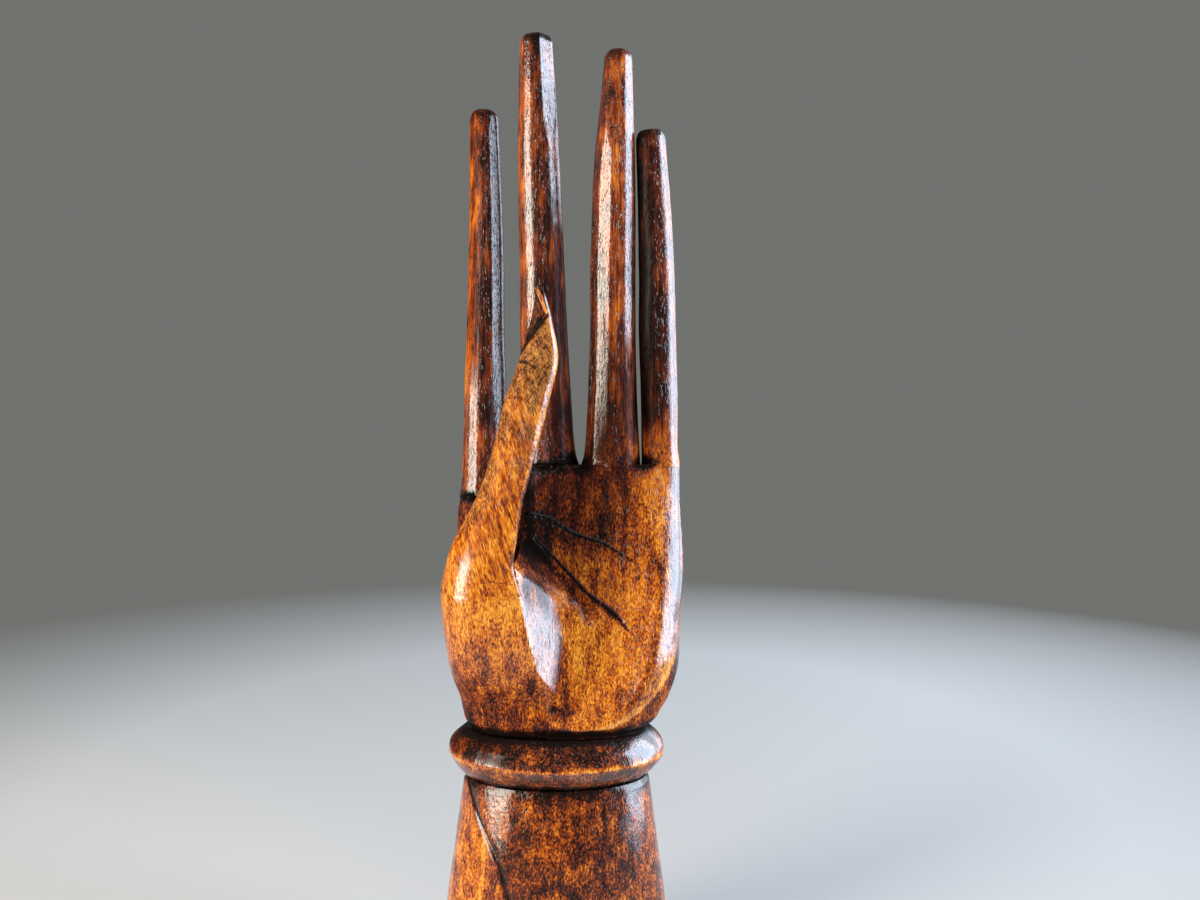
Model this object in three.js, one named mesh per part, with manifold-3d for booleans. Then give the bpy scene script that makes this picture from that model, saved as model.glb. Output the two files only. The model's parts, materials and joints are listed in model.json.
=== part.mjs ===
// A carved wooden hand in a mudra pose, standing on its own forearm.
// The hand is glued up from separate carvings: a forearm post, a ridged wrist collar,
// a hollowed palm with the ball of the thumb, a free-standing thumb and four long fingers.
// Hardwood dowels key every glued joint. Millimetres, +Z up, the palm faces -Y.
// The origin is the middle of the forearm's flat underside.

import * as THREE from "three";
import { mergeVertices } from "three/addons/utils/BufferGeometryUtils.js";
import Module from "manifold-3d";

const wasm = await Module();
wasm.setup();

// Joints
const GLUE_LINE = 0.3; // between two glued faces
const DOWEL_FIT = 0.3; // round a dowel and past its ends
const DOWEL_CHAMFER = 0.8;
const WRIST_DOWEL_RADIUS = 9;
const WRIST_DOWEL_BITE = 15; // into the forearm, and into the palm
const FINGER_DOWEL_RADIUS = 2.5;
const FINGER_DOWEL_BITE = 13; // into the palm, and into the finger
const THUMB_DOWEL_RADIUS = 3;
const THUMB_DOWEL_BITE = 11; // into the ball of the thumb, and into the thumb

// Wrist, the oval that forearm, collar and palm share
const WRIST_HALF_WIDTH = 31.8;
const WRIST_HALF_DEPTH = 19.5;

// Forearm post, from its foot to the groove under the collar. It swells all round beyond the wrist's oval.
const FOREARM_HEIGHT = 78;
const FOREARM_FOOT_SWELL = 5.4;
const FOREARM_FOOT_ROUND = 2.5;
const FOREARM_BELLY_HEIGHT = 27;
const FOREARM_BELLY_SWELL = 6.6;
const FOREARM_TAPER_HEIGHT = 53;
const FOREARM_TAPER_SWELL = 3.6;

// Wrist collar, an oval bead with one crest
const COLLAR_HEIGHT = 16;
const COLLAR_CREST_HEIGHT = 7.6;
const COLLAR_CREST = 5.7; // how far the crest stands out
const COLLAR_CREST_ROUND = 1.1;
const COLLAR_UPPER_BULGE = 1.7; // fullness of the two slopes
const COLLAR_LOWER_BULGE = 0.6;

// Palm, measured from its base
const PALM_HEIGHT = 90.4;
const PALM_BASE_SHIFT = 1.5; // the palm stands this far off the wrist's middle
const PALM_INDEX_DROP = 11; // the index finger sits this much lower
const PALM_SQUARENESS = 2.8; // exponent of its rounded section

// Gouged hollow of the palm, an ellipsoid that runs out between the finger roots
const HOLLOW_CENTRE_X = 11;
const HOLLOW_CENTRE_HEIGHT = 65.5;
const HOLLOW_FLOOR_Y = -7.5;
const HOLLOW_HALF_WIDTH = 55;
const HOLLOW_HALF_HEIGHT = 65.5;
const HOLLOW_HALF_DEPTH = 20;

// Thumb, from its seat on the ball of the thumb to its tip
const THUMB_SEAT_HEIGHT = 49.4; // above the palm's base
const THUMB_LENGTH = 98.6;
const THUMB_DOWEL_INSET = 2; // behind the middle of the thumb's face

// Fingers, side by side from the index finger's outer side
const ROW_LEFT = -33.5;
const ROW_Y = 1.5;
const INDEX_MIDDLE_GAP = 5.5;
const MIDDLE_RING_GAP = 3.3;
const ROOT_CLEARANCE = 0.5; // between a root and the slope beside it
const FINGER_DEPTH_SHARE = 0.92; // depth over width
const FINGER_BACK_SWEEP = 5; // the tips lean back by this much
const FINGER_TIP_ROUND = 5;
const FINGER_TIP_BLUNTNESS = 2.3; // exponent of the rounded tip
const FINGER_TIP_FLAT = 0.25; // share of its width where the tip ends flat
const FINGER_SQUARENESS = 2.1; // exponent of its rounded section
const FINGER_LOW = 0.26; // shares of a finger's length
const FINGER_HIGH = 0.68;

// A finger's width, and how far it leans aside, at its root, low, high and where its tip rounds off.
// The little finger lies along the ring finger instead, at these gaps.
const INDEX = { length: 136.8, width: [15.9, 14.6, 12, 10.2], lean: [0, 0.4, 0.4, -0.5] };
const MIDDLE = { length: 153.1, width: [18.6, 16.8, 15, 12], lean: [0, -1.5, -3.5, -4.8] };
const RING = { length: 147.2, width: [19.4, 16.6, 15.1, 10.4], lean: [0, 0.1, 0.7, 2.1] };
const LITTLE = { length: 118.8, width: [12.8, 13, 12.4, 10.6], ringGap: [0.8, 1.2, 0.8, 0.6] };

// Facets round each piece, and steps up it
const AROUND_FINGER = 20;
const AROUND_THUMB_ARC = 12;
const AROUND_OVAL = 40;
const AROUND_PALM = 44;
const AROUND_HOLLOW = 36;
const AROUND_DOWEL = 14;
const FOREARM_STEPS = 12;
const COLLAR_SLOPE_STEPS = 7;
const PALM_STEPS = 24;
const PALM_STEP_CROWDING = 1.25; // above 1, the steps crowd towards the heel
const HOLLOW_STEPS = 24;
const BALL_STEPS = 9;
const THUMB_STEPS = 22;
const FINGER_STEPS = 13;
const CUTTER_SLACK = 1; // a cutter runs this far past the face that it opens
const FAR = 500; // larger than the whole object

// Stacking heights
const COLLAR_Z = FOREARM_HEIGHT + GLUE_LINE;
const PALM_Z = COLLAR_Z + COLLAR_HEIGHT + GLUE_LINE;
const INDEX_SEAT = PALM_HEIGHT - PALM_INDEX_DROP;

// The row of finger roots
INDEX.x = ROW_LEFT + INDEX.width[0] / 2;
MIDDLE.x = INDEX.x + (INDEX.width[0] + MIDDLE.width[0]) / 2 + INDEX_MIDDLE_GAP;
RING.x = MIDDLE.x + (MIDDLE.width[0] + RING.width[0]) / 2 + MIDDLE_RING_GAP;
LITTLE.x = RING.x + (RING.width[0] + LITTLE.width[0]) / 2 + LITTLE.ringGap[0];
const leftOf = (finger) => finger.x - finger.width[0] / 2;
const rightOf = (finger) => finger.x + finger.width[0] / 2;

// The palm's outline at rising shares of its height: the two sides' x, and front and back depth
const PALM_AT = [0, 0.05, 0.12, 0.24, 0.41, 0.58, 0.72, 0.86, 1];
const WRIST_LEFT = PALM_BASE_SHIFT - WRIST_HALF_WIDTH;
const WRIST_RIGHT = PALM_BASE_SHIFT + WRIST_HALF_WIDTH;
const PALM_LEFT = [WRIST_LEFT, -31.8, -33, -34, -34.4, -34.6, -34.6, -34.2, leftOf(INDEX)];
const PALM_RIGHT = [WRIST_RIGHT, 35.6, 39.2, 42.4, 43.2, 44.3, 44, 43.2, rightOf(LITTLE)];
const PALM_FRONT = [WRIST_HALF_DEPTH, 21.2, 21.6, 20.8, 18.6, 15.8, 13.4, 11.2, 9];
const PALM_BACK = [WRIST_HALF_DEPTH, 20.2, 20.3, 19.6, 18.4, 16.8, 15, 13, 10.8];

// The thumb's outline at heights from its seat: shares of the seat's height below it, of its length above.
// A section runs from its left side over a bulging face to the crisp ridge, then round its back.
const THUMB_AT = [-0.96, -0.74, -0.48, -0.06, 0.08, 0.172, 0.304, 0.467, 0.629, 0.757, 0.887, 0.96, 1];
const THUMB_LEFT_X = [-27, -32.8, -36.2, -38.4, -36.4, -32.6, -25.2, -19.4, -15.2, -10.8, -7.1, -5.8, -4.9];
const THUMB_LEFT_Y = [-6, -7, -8.5, -10.5, -13, -17, -22, -25, -26.5, -27, -26.5, -26, -25.6];
const THUMB_RIDGE_X = [-3, -2, -5.7, -9.8, -12.4, -11, -8.3, -3.4, 1.2, 3.6, 1, -1.7, -3.5];
const THUMB_RIDGE_Y = [-13, -21, -25.5, -28.5, -29.5, -30.5, -31.5, -32.3, -32.8, -32, -29.5, -27.6, -26.2];
const THUMB_FACE = [4, 6, 7, 7, 6, 5, 4, 3.4, 3, 2.4, 1.5, 0.8, 0.3];
const THUMB_BACK = [16, 24, 27, 27, 22, 13, 11, 10, 9, 7.5, 4.5, 2.4, 0.8];
const THUMB_FLANK = [8, 12, 14, 12, 3, -3, -4, -4, -4, -3, -1.5, -0.6, 0];
const THUMB_PLACES = THUMB_AT.map(
  (share) => THUMB_SEAT_HEIGHT + share * (share < 0 ? THUMB_SEAT_HEIGHT : THUMB_LENGTH),
);

// Finishes: one stained and varnished wood, darker or more amber by piece, and bare dowels
const AMBER_WOOD = { color: 0xb5701f, roughness: 0.28 };
const RUSSET_WOOD = { color: 0x8a4416, roughness: 0.28 };
const DARK_WOOD = { color: 0x5a2a10, roughness: 0.3 };
const DOWEL_WOOD = { color: 0xc9a26a, roughness: 0.7 };

// Booleans

function solidOf(geometry) {
  const bare = geometry.clone();
  bare.deleteAttribute("normal");
  bare.deleteAttribute("uv");
  const merged = mergeVertices(bare, 1e-4);
  return new wasm.Manifold(
    new wasm.Mesh({
      numProp: 3,
      vertProperties: new Float32Array(merged.attributes.position.array),
      triVerts: new Uint32Array(merged.index.array),
    }),
  );
}

function geometryOf(solid) {
  const mesh = solid.getMesh();
  const geometry = new THREE.BufferGeometry();
  geometry.setAttribute("position", new THREE.BufferAttribute(mesh.vertProperties, 3));
  geometry.setIndex(new THREE.BufferAttribute(mesh.triVerts, 1));
  geometry.computeVertexNormals();
  return geometry;
}

// Lofts

// A smooth curve through values at rising places, read at one height.
function between(places, values, height) {
  const last = places.length - 1;
  let i = 0;
  while (i < last - 1 && height > places[i + 1]) i += 1;
  const inside = (k) => Math.min(Math.max(k, 0), last);
  const rise = (list, k) => list[inside(k + 1)] - list[inside(k - 1)];
  const slope = (k) => rise(values, k) / rise(places, k);
  const span = places[i + 1] - places[i];
  const t = Math.min(Math.max((height - places[i]) / span, 0), 1);
  const share = 3 * t ** 2 - 2 * t ** 3;
  const leave = (t - 2 * t ** 2 + t ** 3) * span * slope(i);
  const arrive = (t ** 3 - t ** 2) * span * slope(i + 1);
  return values[i] * (1 - share) + values[i + 1] * share + leave + arrive;
}

// A closed skin over one outline for each level, each outline running counter-clockwise.
function loft(levels, outlineAt) {
  const rings = levels.map((z) => outlineAt(z));
  const count = rings[0].length;
  const points = [];
  rings.forEach((ring, k) => ring.forEach((p) => points.push(p.x, p.y, levels[k])));
  const middle = (ring) => ring.reduce((sum, p) => sum.add(p), new THREE.Vector2()).divideScalar(count);
  const foot = middle(rings[0]);
  const head = middle(rings[rings.length - 1]);
  points.push(foot.x, foot.y, levels[0], head.x, head.y, levels[levels.length - 1]);
  const footIndex = rings.length * count;
  const faces = [];
  for (let j = 0; j < count; j += 1) {
    const next = (j + 1) % count;
    for (let k = 0; k < rings.length - 1; k += 1) {
      const low = k * count;
      const high = low + count;
      faces.push(low + j, low + next, high + next, low + j, high + next, high + j);
    }
    const top = (rings.length - 1) * count;
    faces.push(footIndex, next, j, footIndex + 1, top + j, top + next);
  }
  const geometry = new THREE.BufferGeometry();
  geometry.setAttribute("position", new THREE.Float32BufferAttribute(points, 3));
  geometry.setIndex(faces);
  return geometry;
}

// A rounded section: half width, then depth to the front and to the back of its middle.
function roundedOutline(middle, halfWidth, front, back, squareness, count) {
  const power = 2 / squareness;
  return Array.from({ length: count }, (_, j) => {
    const angle = (2 * Math.PI * j) / count;
    const c = Math.cos(angle);
    const s = Math.sin(angle);
    const depth = s < 0 ? front : back;
    const x = middle.x + halfWidth * Math.sign(c) * Math.abs(c) ** power;
    return new THREE.Vector2(x, middle.y + depth * Math.sign(s) * Math.abs(s) ** power);
  });
}

function evenly(from, to, steps) {
  return Array.from({ length: steps + 1 }, (_, i) => from + ((to - from) * i) / steps);
}

// Dowels and their bores

function dowelGeometry(radius, length) {
  const profile = [
    new THREE.Vector2(0, -length / 2),
    new THREE.Vector2(radius - DOWEL_CHAMFER, -length / 2),
    new THREE.Vector2(radius, -length / 2 + DOWEL_CHAMFER),
    new THREE.Vector2(radius, length / 2 - DOWEL_CHAMFER),
    new THREE.Vector2(radius - DOWEL_CHAMFER, length / 2),
    new THREE.Vector2(0, length / 2),
  ];
  return new THREE.LatheGeometry(profile, AROUND_DOWEL).rotateX(Math.PI / 2);
}

// A blind bore around a joint face at z, reaching down or up by the dowel's bite.
function bore(radius, reach, x, y, z) {
  const low = Math.min(z, z + reach) - (reach > 0 ? CUTTER_SLACK : DOWEL_FIT);
  const high = Math.max(z, z + reach) + (reach > 0 ? DOWEL_FIT : CUTTER_SLACK);
  const cutter = new THREE.CylinderGeometry(radius + DOWEL_FIT, radius + DOWEL_FIT, high - low, AROUND_DOWEL);
  return solidOf(cutter.rotateX(Math.PI / 2).translate(x, y, (low + high) / 2));
}

// Forearm and collar

// An oval as wide as the wrist, and wider by an equal amount all round.
function wristOutline(swell) {
  const depth = WRIST_HALF_DEPTH + swell;
  return roundedOutline(new THREE.Vector2(), WRIST_HALF_WIDTH + swell, depth, depth, 2, AROUND_OVAL);
}

function forearmGeometry() {
  const places = [0, FOREARM_FOOT_ROUND, FOREARM_BELLY_HEIGHT, FOREARM_TAPER_HEIGHT, FOREARM_HEIGHT];
  const foot = FOREARM_FOOT_SWELL - FOREARM_FOOT_ROUND;
  const swells = [foot, FOREARM_FOOT_SWELL, FOREARM_BELLY_SWELL, FOREARM_TAPER_SWELL, 0];
  const levels = [0, FOREARM_FOOT_ROUND / 3, ...evenly(FOREARM_FOOT_ROUND, FOREARM_HEIGHT, FOREARM_STEPS)];
  const post = loft(levels, (z) => wristOutline(between(places, swells, z)));
  const socket = bore(WRIST_DOWEL_RADIUS, -WRIST_DOWEL_BITE, 0, 0, FOREARM_HEIGHT);
  return geometryOf(solidOf(post).subtract(socket));
}

// How far the collar stands out at a height: a softened crest between two full slopes.
function collarSwell(z) {
  const above = z > COLLAR_CREST_HEIGHT;
  const reach = above ? COLLAR_HEIGHT - COLLAR_CREST_HEIGHT : COLLAR_CREST_HEIGHT;
  const bulge = above ? COLLAR_UPPER_BULGE : COLLAR_LOWER_BULGE;
  const soft = (distance) => Math.hypot(distance, COLLAR_CREST_ROUND) - COLLAR_CREST_ROUND;
  const share = 1 - soft(z - COLLAR_CREST_HEIGHT) / soft(reach);
  return COLLAR_CREST * share + bulge * Math.sin(Math.PI * share);
}

function collarGeometry() {
  const below = evenly(0, COLLAR_CREST_HEIGHT, COLLAR_SLOPE_STEPS);
  const above = evenly(COLLAR_CREST_HEIGHT, COLLAR_HEIGHT, COLLAR_SLOPE_STEPS).slice(1);
  const ring = loft([...below, ...above], (z) => wristOutline(collarSwell(z)));
  const through = bore(WRIST_DOWEL_RADIUS, COLLAR_HEIGHT + CUTTER_SLACK, 0, 0, 0);
  return geometryOf(solidOf(ring).subtract(through));
}

// Palm and thumb

// The palm's block with its hollow, grown all round to leave a glue line.
function palmBlock(grow) {
  const places = PALM_AT.map((share) => share * PALM_HEIGHT);
  const levels = evenly(0, 1, PALM_STEPS).map((share) => PALM_HEIGHT * share ** PALM_STEP_CROWDING);
  const skin = loft(levels, (z) => {
    const left = between(places, PALM_LEFT, z);
    const right = between(places, PALM_RIGHT, z);
    const middle = new THREE.Vector2((left + right) / 2, 0);
    const half = (right - left) / 2 + grow;
    const front = between(places, PALM_FRONT, z) + grow;
    const back = between(places, PALM_BACK, z) + grow;
    return roundedOutline(middle, half, front, back, PALM_SQUARENESS, AROUND_PALM);
  });
  return solidOf(skin).subtract(hollowCutter(grow));
}

function hollowCutter(shrink) {
  const cutter = new THREE.SphereGeometry(1, AROUND_HOLLOW, HOLLOW_STEPS);
  cutter.scale(HOLLOW_HALF_WIDTH - shrink, HOLLOW_HALF_DEPTH - shrink, HOLLOW_HALF_HEIGHT - shrink);
  return solidOf(cutter.translate(HOLLOW_CENTRE_X, HOLLOW_FLOOR_Y - HOLLOW_HALF_DEPTH, HOLLOW_CENTRE_HEIGHT));
}

// The slope behind the index finger, from the ledge of the other three down to its seat.
function indexNotchCutter() {
  const near = rightOf(INDEX) + ROOT_CLEARANCE;
  const far = leftOf(MIDDLE) - ROOT_CLEARANCE;
  const wall = (near + far) / 2;
  const top = PALM_HEIGHT + CUTTER_SLACK;
  const profile = new THREE.Shape();
  profile.moveTo(-FAR, INDEX_SEAT);
  profile.lineTo(near, INDEX_SEAT);
  profile.bezierCurveTo(wall, INDEX_SEAT, wall, PALM_HEIGHT, far, PALM_HEIGHT);
  profile.lineTo(far, top);
  profile.lineTo(-FAR, top);
  profile.closePath();
  const cutter = new THREE.ExtrudeGeometry(profile, { depth: 2 * FAR, bevelEnabled: false, curveSegments: 8 });
  return solidOf(cutter.rotateX(Math.PI / 2).translate(0, FAR, 0));
}

// One section of the thumb: a face from its left side to the ridge, and a rounded back.
function thumbOutline(height) {
  const read = (values) => between(THUMB_PLACES, values, height);
  const left = new THREE.Vector2(read(THUMB_LEFT_X), read(THUMB_LEFT_Y));
  const ridge = new THREE.Vector2(read(THUMB_RIDGE_X), read(THUMB_RIDGE_Y));
  const face = read(THUMB_FACE);
  const back = read(THUMB_BACK);
  const flank = read(THUMB_FLANK);
  const bulge = ridge.clone().sub(left).rotateAround(new THREE.Vector2(), -Math.PI / 2).setLength(face);
  const front = new THREE.CubicBezierCurve(
    left,
    left.clone().add(new THREE.Vector2(0, -face)),
    ridge.clone().lerp(left, 1 / 3).add(bulge),
    ridge,
  );
  const rear = new THREE.CubicBezierCurve(
    ridge,
    ridge.clone().add(new THREE.Vector2(flank, back)),
    left.clone().add(new THREE.Vector2(0, back)),
    left,
  );
  return [...front.getPoints(AROUND_THUMB_ARC).slice(0, -1), ...rear.getPoints(AROUND_THUMB_ARC).slice(0, -1)];
}

// The thumb with its ball, from the wrist to the tip, in the palm's frame.
function wholeThumb() {
  const ball = evenly(THUMB_PLACES[0], THUMB_SEAT_HEIGHT, BALL_STEPS);
  const thumb = evenly(THUMB_SEAT_HEIGHT, THUMB_SEAT_HEIGHT + THUMB_LENGTH, THUMB_STEPS).slice(1);
  return solidOf(loft([...ball, ...thumb], thumbOutline));
}

// Where the thumb's dowel crosses its seat.
function thumbDowelPlace() {
  const read = (values) => between(THUMB_PLACES, values, THUMB_SEAT_HEIGHT);
  const x = (read(THUMB_LEFT_X) + read(THUMB_RIDGE_X)) / 2;
  const y = (read(THUMB_LEFT_Y) + read(THUMB_RIDGE_Y)) / 2;
  return new THREE.Vector2(x, y + THUMB_DOWEL_INSET);
}

// Everything on one side of a level.
function slab(from, to) {
  return solidOf(new THREE.BoxGeometry(2 * FAR, 2 * FAR, to - from).translate(0, 0, (from + to) / 2));
}

function palmGeometry() {
  const ball = wholeThumb().intersect(slab(-FAR, THUMB_SEAT_HEIGHT));
  const dowel = thumbDowelPlace();
  let palm = palmBlock(0).subtract(indexNotchCutter()).add(ball);
  palm = palm.subtract(bore(WRIST_DOWEL_RADIUS, WRIST_DOWEL_BITE, 0, 0, 0));
  palm = palm.subtract(bore(THUMB_DOWEL_RADIUS, -THUMB_DOWEL_BITE, dowel.x, dowel.y, THUMB_SEAT_HEIGHT));
  for (const { shape, seat } of FINGERS) {
    palm = palm.subtract(bore(FINGER_DOWEL_RADIUS, -FINGER_DOWEL_BITE, shape.x, ROW_Y, seat));
  }
  return geometryOf(palm);
}

function thumbGeometry() {
  const foot = THUMB_SEAT_HEIGHT + GLUE_LINE;
  const dowel = thumbDowelPlace();
  const thumb = wholeThumb().intersect(slab(foot, FAR)).subtract(palmBlock(GLUE_LINE));
  return geometryOf(thumb.subtract(bore(THUMB_DOWEL_RADIUS, THUMB_DOWEL_BITE, dowel.x, dowel.y, foot)));
}

// Fingers

// A finger's middle line and half width at four heights over its seat.
function fingerLine(shape) {
  const shares = [0, FINGER_LOW, FINGER_HIGH, 1 - FINGER_TIP_ROUND / shape.length];
  const places = shares.map((share) => share * shape.length);
  const halves = shape.width.map((width) => width / 2);
  const besideRing = (place, i) => sideOf(RING, place) + shape.ringGap[i] + halves[i];
  const middles = places.map((place, i) => (shape.lean ? shape.x + shape.lean[i] : besideRing(place, i)));
  return { places, halves, middles };
}

// The x of a finger's right side at a height over its seat.
function sideOf(shape, height) {
  const { places, halves, middles } = fingerLine(shape);
  return between(places, middles, height) + between(places, halves, height);
}

// A finger on its seat, in its own frame: root at z 0 on the dowel's axis.
function fingerGeometry(shape) {
  const { places, halves, middles } = fingerLine(shape);
  const neck = shape.length - FINGER_TIP_ROUND;
  const dome = [0.4, 0.7, 0.88, 0.97, 1].map((share) => neck + share * FINGER_TIP_ROUND);
  const blunt = (z) => {
    const share = Math.max(z - neck, 0) / FINGER_TIP_ROUND;
    return Math.max((1 - share ** FINGER_TIP_BLUNTNESS) ** (1 / FINGER_TIP_BLUNTNESS), FINGER_TIP_FLAT);
  };
  const skin = loft([...evenly(0, neck, FINGER_STEPS), ...dome], (z) => {
    const half = between(places, halves, z) * blunt(z);
    const sweep = FINGER_BACK_SWEEP * (z / shape.length) ** 2;
    const middle = new THREE.Vector2(between(places, middles, z) - shape.x, sweep);
    const depth = half * FINGER_DEPTH_SHARE;
    return roundedOutline(middle, half, depth, depth, FINGER_SQUARENESS, AROUND_FINGER);
  });
  return geometryOf(solidOf(skin).subtract(bore(FINGER_DOWEL_RADIUS, FINGER_DOWEL_BITE, 0, 0, 0)));
}

const FINGERS = [
  { name: "index", shape: INDEX, seat: INDEX_SEAT },
  { name: "middle", shape: MIDDLE, seat: PALM_HEIGHT },
  { name: "ring", shape: RING, seat: PALM_HEIGHT },
  { name: "little", shape: LITTLE, seat: PALM_HEIGHT },
];

// Assembly

function piece(name, geometry, finish, x = 0, y = 0, z = 0) {
  const mesh = new THREE.Mesh(geometry, new THREE.MeshStandardMaterial({ ...finish, metalness: 0 }));
  mesh.name = name;
  mesh.position.set(x, y, z);
  return mesh;
}

function fingerOnItsSeat({ name, shape, seat }) {
  const joint = new THREE.Group();
  joint.position.set(shape.x, ROW_Y, seat);
  const length = 2 * FINGER_DOWEL_BITE + GLUE_LINE;
  joint.add(
    piece(`${name}_finger`, fingerGeometry(shape), RUSSET_WOOD, 0, 0, GLUE_LINE),
    piece(`${name}_dowel`, dowelGeometry(FINGER_DOWEL_RADIUS, length), DOWEL_WOOD, 0, 0, GLUE_LINE / 2),
  );
  return joint;
}

function hand() {
  const group = new THREE.Group();
  group.position.z = PALM_Z;
  const place = thumbDowelPlace();
  const key = dowelGeometry(THUMB_DOWEL_RADIUS, 2 * THUMB_DOWEL_BITE + GLUE_LINE);
  group.add(
    piece("palm", palmGeometry(), RUSSET_WOOD),
    piece("thumb", thumbGeometry(), AMBER_WOOD),
    piece("thumb_dowel", key, DOWEL_WOOD, place.x, place.y, THUMB_SEAT_HEIGHT + GLUE_LINE / 2),
    ...FINGERS.map(fingerOnItsSeat),
  );
  return group;
}

const mudraHand = new THREE.Group();
const wristDowel = dowelGeometry(WRIST_DOWEL_RADIUS, PALM_Z - FOREARM_HEIGHT + 2 * WRIST_DOWEL_BITE);
mudraHand.add(
  piece("forearm", forearmGeometry(), DARK_WOOD),
  piece("wrist_collar", collarGeometry(), DARK_WOOD, 0, 0, COLLAR_Z),
  piece("wrist_dowel", wristDowel, DOWEL_WOOD, 0, 0, (FOREARM_HEIGHT + PALM_Z) / 2),
  hand(),
);

export default mudraHand;
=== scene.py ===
"""Looks of a carved and varnished wooden hand in a mudra pose.

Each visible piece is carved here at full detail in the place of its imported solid, in the same frame.
Sizes are millimetres and meshes are metres. The palm faces -Y and the fingers point along +Z.
"""

from __future__ import annotations

import itertools
import json
import logging
import math
from abc import ABC, abstractmethod
from dataclasses import dataclass, field
from enum import Enum
from typing import Any, Sequence

import bmesh
import bpy
import numpy as np
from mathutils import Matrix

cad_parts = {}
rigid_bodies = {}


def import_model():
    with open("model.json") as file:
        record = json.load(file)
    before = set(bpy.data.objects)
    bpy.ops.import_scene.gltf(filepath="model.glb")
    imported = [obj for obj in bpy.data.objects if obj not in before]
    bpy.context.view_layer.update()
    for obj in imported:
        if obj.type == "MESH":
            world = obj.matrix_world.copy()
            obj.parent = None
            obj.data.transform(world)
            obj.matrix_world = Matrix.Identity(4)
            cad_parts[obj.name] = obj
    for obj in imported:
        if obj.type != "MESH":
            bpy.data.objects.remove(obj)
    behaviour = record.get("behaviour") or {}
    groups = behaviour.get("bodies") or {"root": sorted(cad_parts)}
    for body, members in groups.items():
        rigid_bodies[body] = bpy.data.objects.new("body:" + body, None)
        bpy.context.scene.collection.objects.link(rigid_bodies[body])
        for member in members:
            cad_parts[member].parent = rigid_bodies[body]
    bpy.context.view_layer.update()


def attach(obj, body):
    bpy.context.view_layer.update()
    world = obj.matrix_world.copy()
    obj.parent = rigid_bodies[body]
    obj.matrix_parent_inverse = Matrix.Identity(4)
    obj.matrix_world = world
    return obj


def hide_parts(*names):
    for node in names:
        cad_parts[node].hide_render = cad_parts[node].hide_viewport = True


LOG = logging.getLogger("mudra_hand")
MM = 0.001
BODY = "root"

GLUE_LINE = 0.3
DOWEL_FIT = 0.3
FAR = 120.0
ELLIPSE = 2
BORE_POINTS = 48
SEAM_REACH = 0.002
SHARP_ANGLE = math.radians(55)
NOISE_VALUES = 4096
NOISE_PRIMES = (73856093, 19349663, 83492791)

Array = np.ndarray
Pair = tuple[float, float]
Triple = tuple[float, float, float]
Quad = tuple[float, float, float, float]
Line = tuple[Pair, ...]
Colour = Triple
Piece = bpy.types.Object
Socket = bpy.types.NodeSocket
Material = bpy.types.Material


class Slot(Enum):
    """The record's material slots."""

    AMBER = "amber_stained_wood"
    RUSSET = "russet_stained_wood"
    DARK = "dark_stained_wood"
    DOWEL = "dowel_wood"


class Cut(Enum):
    """How one solid changes another."""

    JOIN = "UNION"
    REMOVE = "DIFFERENCE"


class Stain(Enum):
    """Point attributes that the finishes read."""

    # How light the stain is, painted light and shade included.
    TONE = "tone"
    # Real dirt together with painted shade in hollows, recesses and shadowed places.
    DIRT_AND_SHADE = "dirt"
    WEAR = "wear"
    # Scuffed varnish, greyed by a painted sheen.
    SCUFF_AND_SHEEN = "scuff"
    GRAIN = "grain"
    MATTE = "matte"


Stains = dict[Stain, Array]


# Numbers on curves and surfaces


def between(places: Sequence[float], values: Sequence[float], heights: Array) -> Array:
    """Reads a smooth curve through values given at rising places.

    Args:
        places: Heights of the given values.
        values: The value at each place.
        heights: Where to read.

    Returns:
        The value at each height.
    """
    at, given = np.asarray(places, float), np.asarray(values, float)
    last = len(at) - 1
    low, high = np.maximum(np.arange(last + 1) - 1, 0), np.minimum(np.arange(last + 1) + 1, last)
    slope = (given[high] - given[low]) / (at[high] - at[low])
    i = np.clip(np.searchsorted(at, heights) - 1, 0, last - 1)
    span = at[i + 1] - at[i]
    t = np.clip((heights - at[i]) / span, 0, 1)
    share = 3 * t**2 - 2 * t**3
    leave = (t - 2 * t**2 + t**3) * span * slope[i]
    arrive = (t**3 - t**2) * span * slope[i + 1]
    return given[i] * (1 - share) + given[i + 1] * share + leave + arrive


def ramp(values: Array, low: float, high: float) -> Array:
    """Eases from 0 at low to 1 at high."""
    t = np.clip((values - low) / (high - low), 0, 1)
    return t * t * (3 - 2 * t)


def ease_max(a: Array, b: Array, reach: float) -> Array:
    """The larger of two values, rounded where they are within reach."""
    near = np.maximum(reach - np.abs(a - b), 0) / reach
    return np.maximum(a, b) + reach * near**2 / 4


def bell(values: Array, width: Array | float) -> Array:
    """Falls from 1 at zero to nothing a few widths away."""
    return np.exp(-((values / width) ** 2))


def lattice_noise(points: Array, size: Sequence[float], seed: int) -> Array:
    """Smooth noise in space.

    Args:
        points: Points in millimetres, one a row.
        size: The noise's grain along x, y and z.
        seed: Picks the noise.

    Returns:
        A value from -1 to 1 for each point.
    """
    table = np.random.default_rng(seed).uniform(-1, 1, NOISE_VALUES)
    scaled = points / np.asarray(size, float)
    cell = np.floor(scaled).astype(np.int64)
    t = scaled - cell
    t = t * t * (3 - 2 * t)
    total = np.zeros(len(points))
    for corner in itertools.product((0, 1), repeat=3):
        a, b, c = ((cell + corner) * NOISE_PRIMES).T
        key = (a ^ b ^ c) & (NOISE_VALUES - 1)
        total += np.prod(np.where(corner, t, 1 - t), axis=1) * table[key]
    return total


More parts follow.
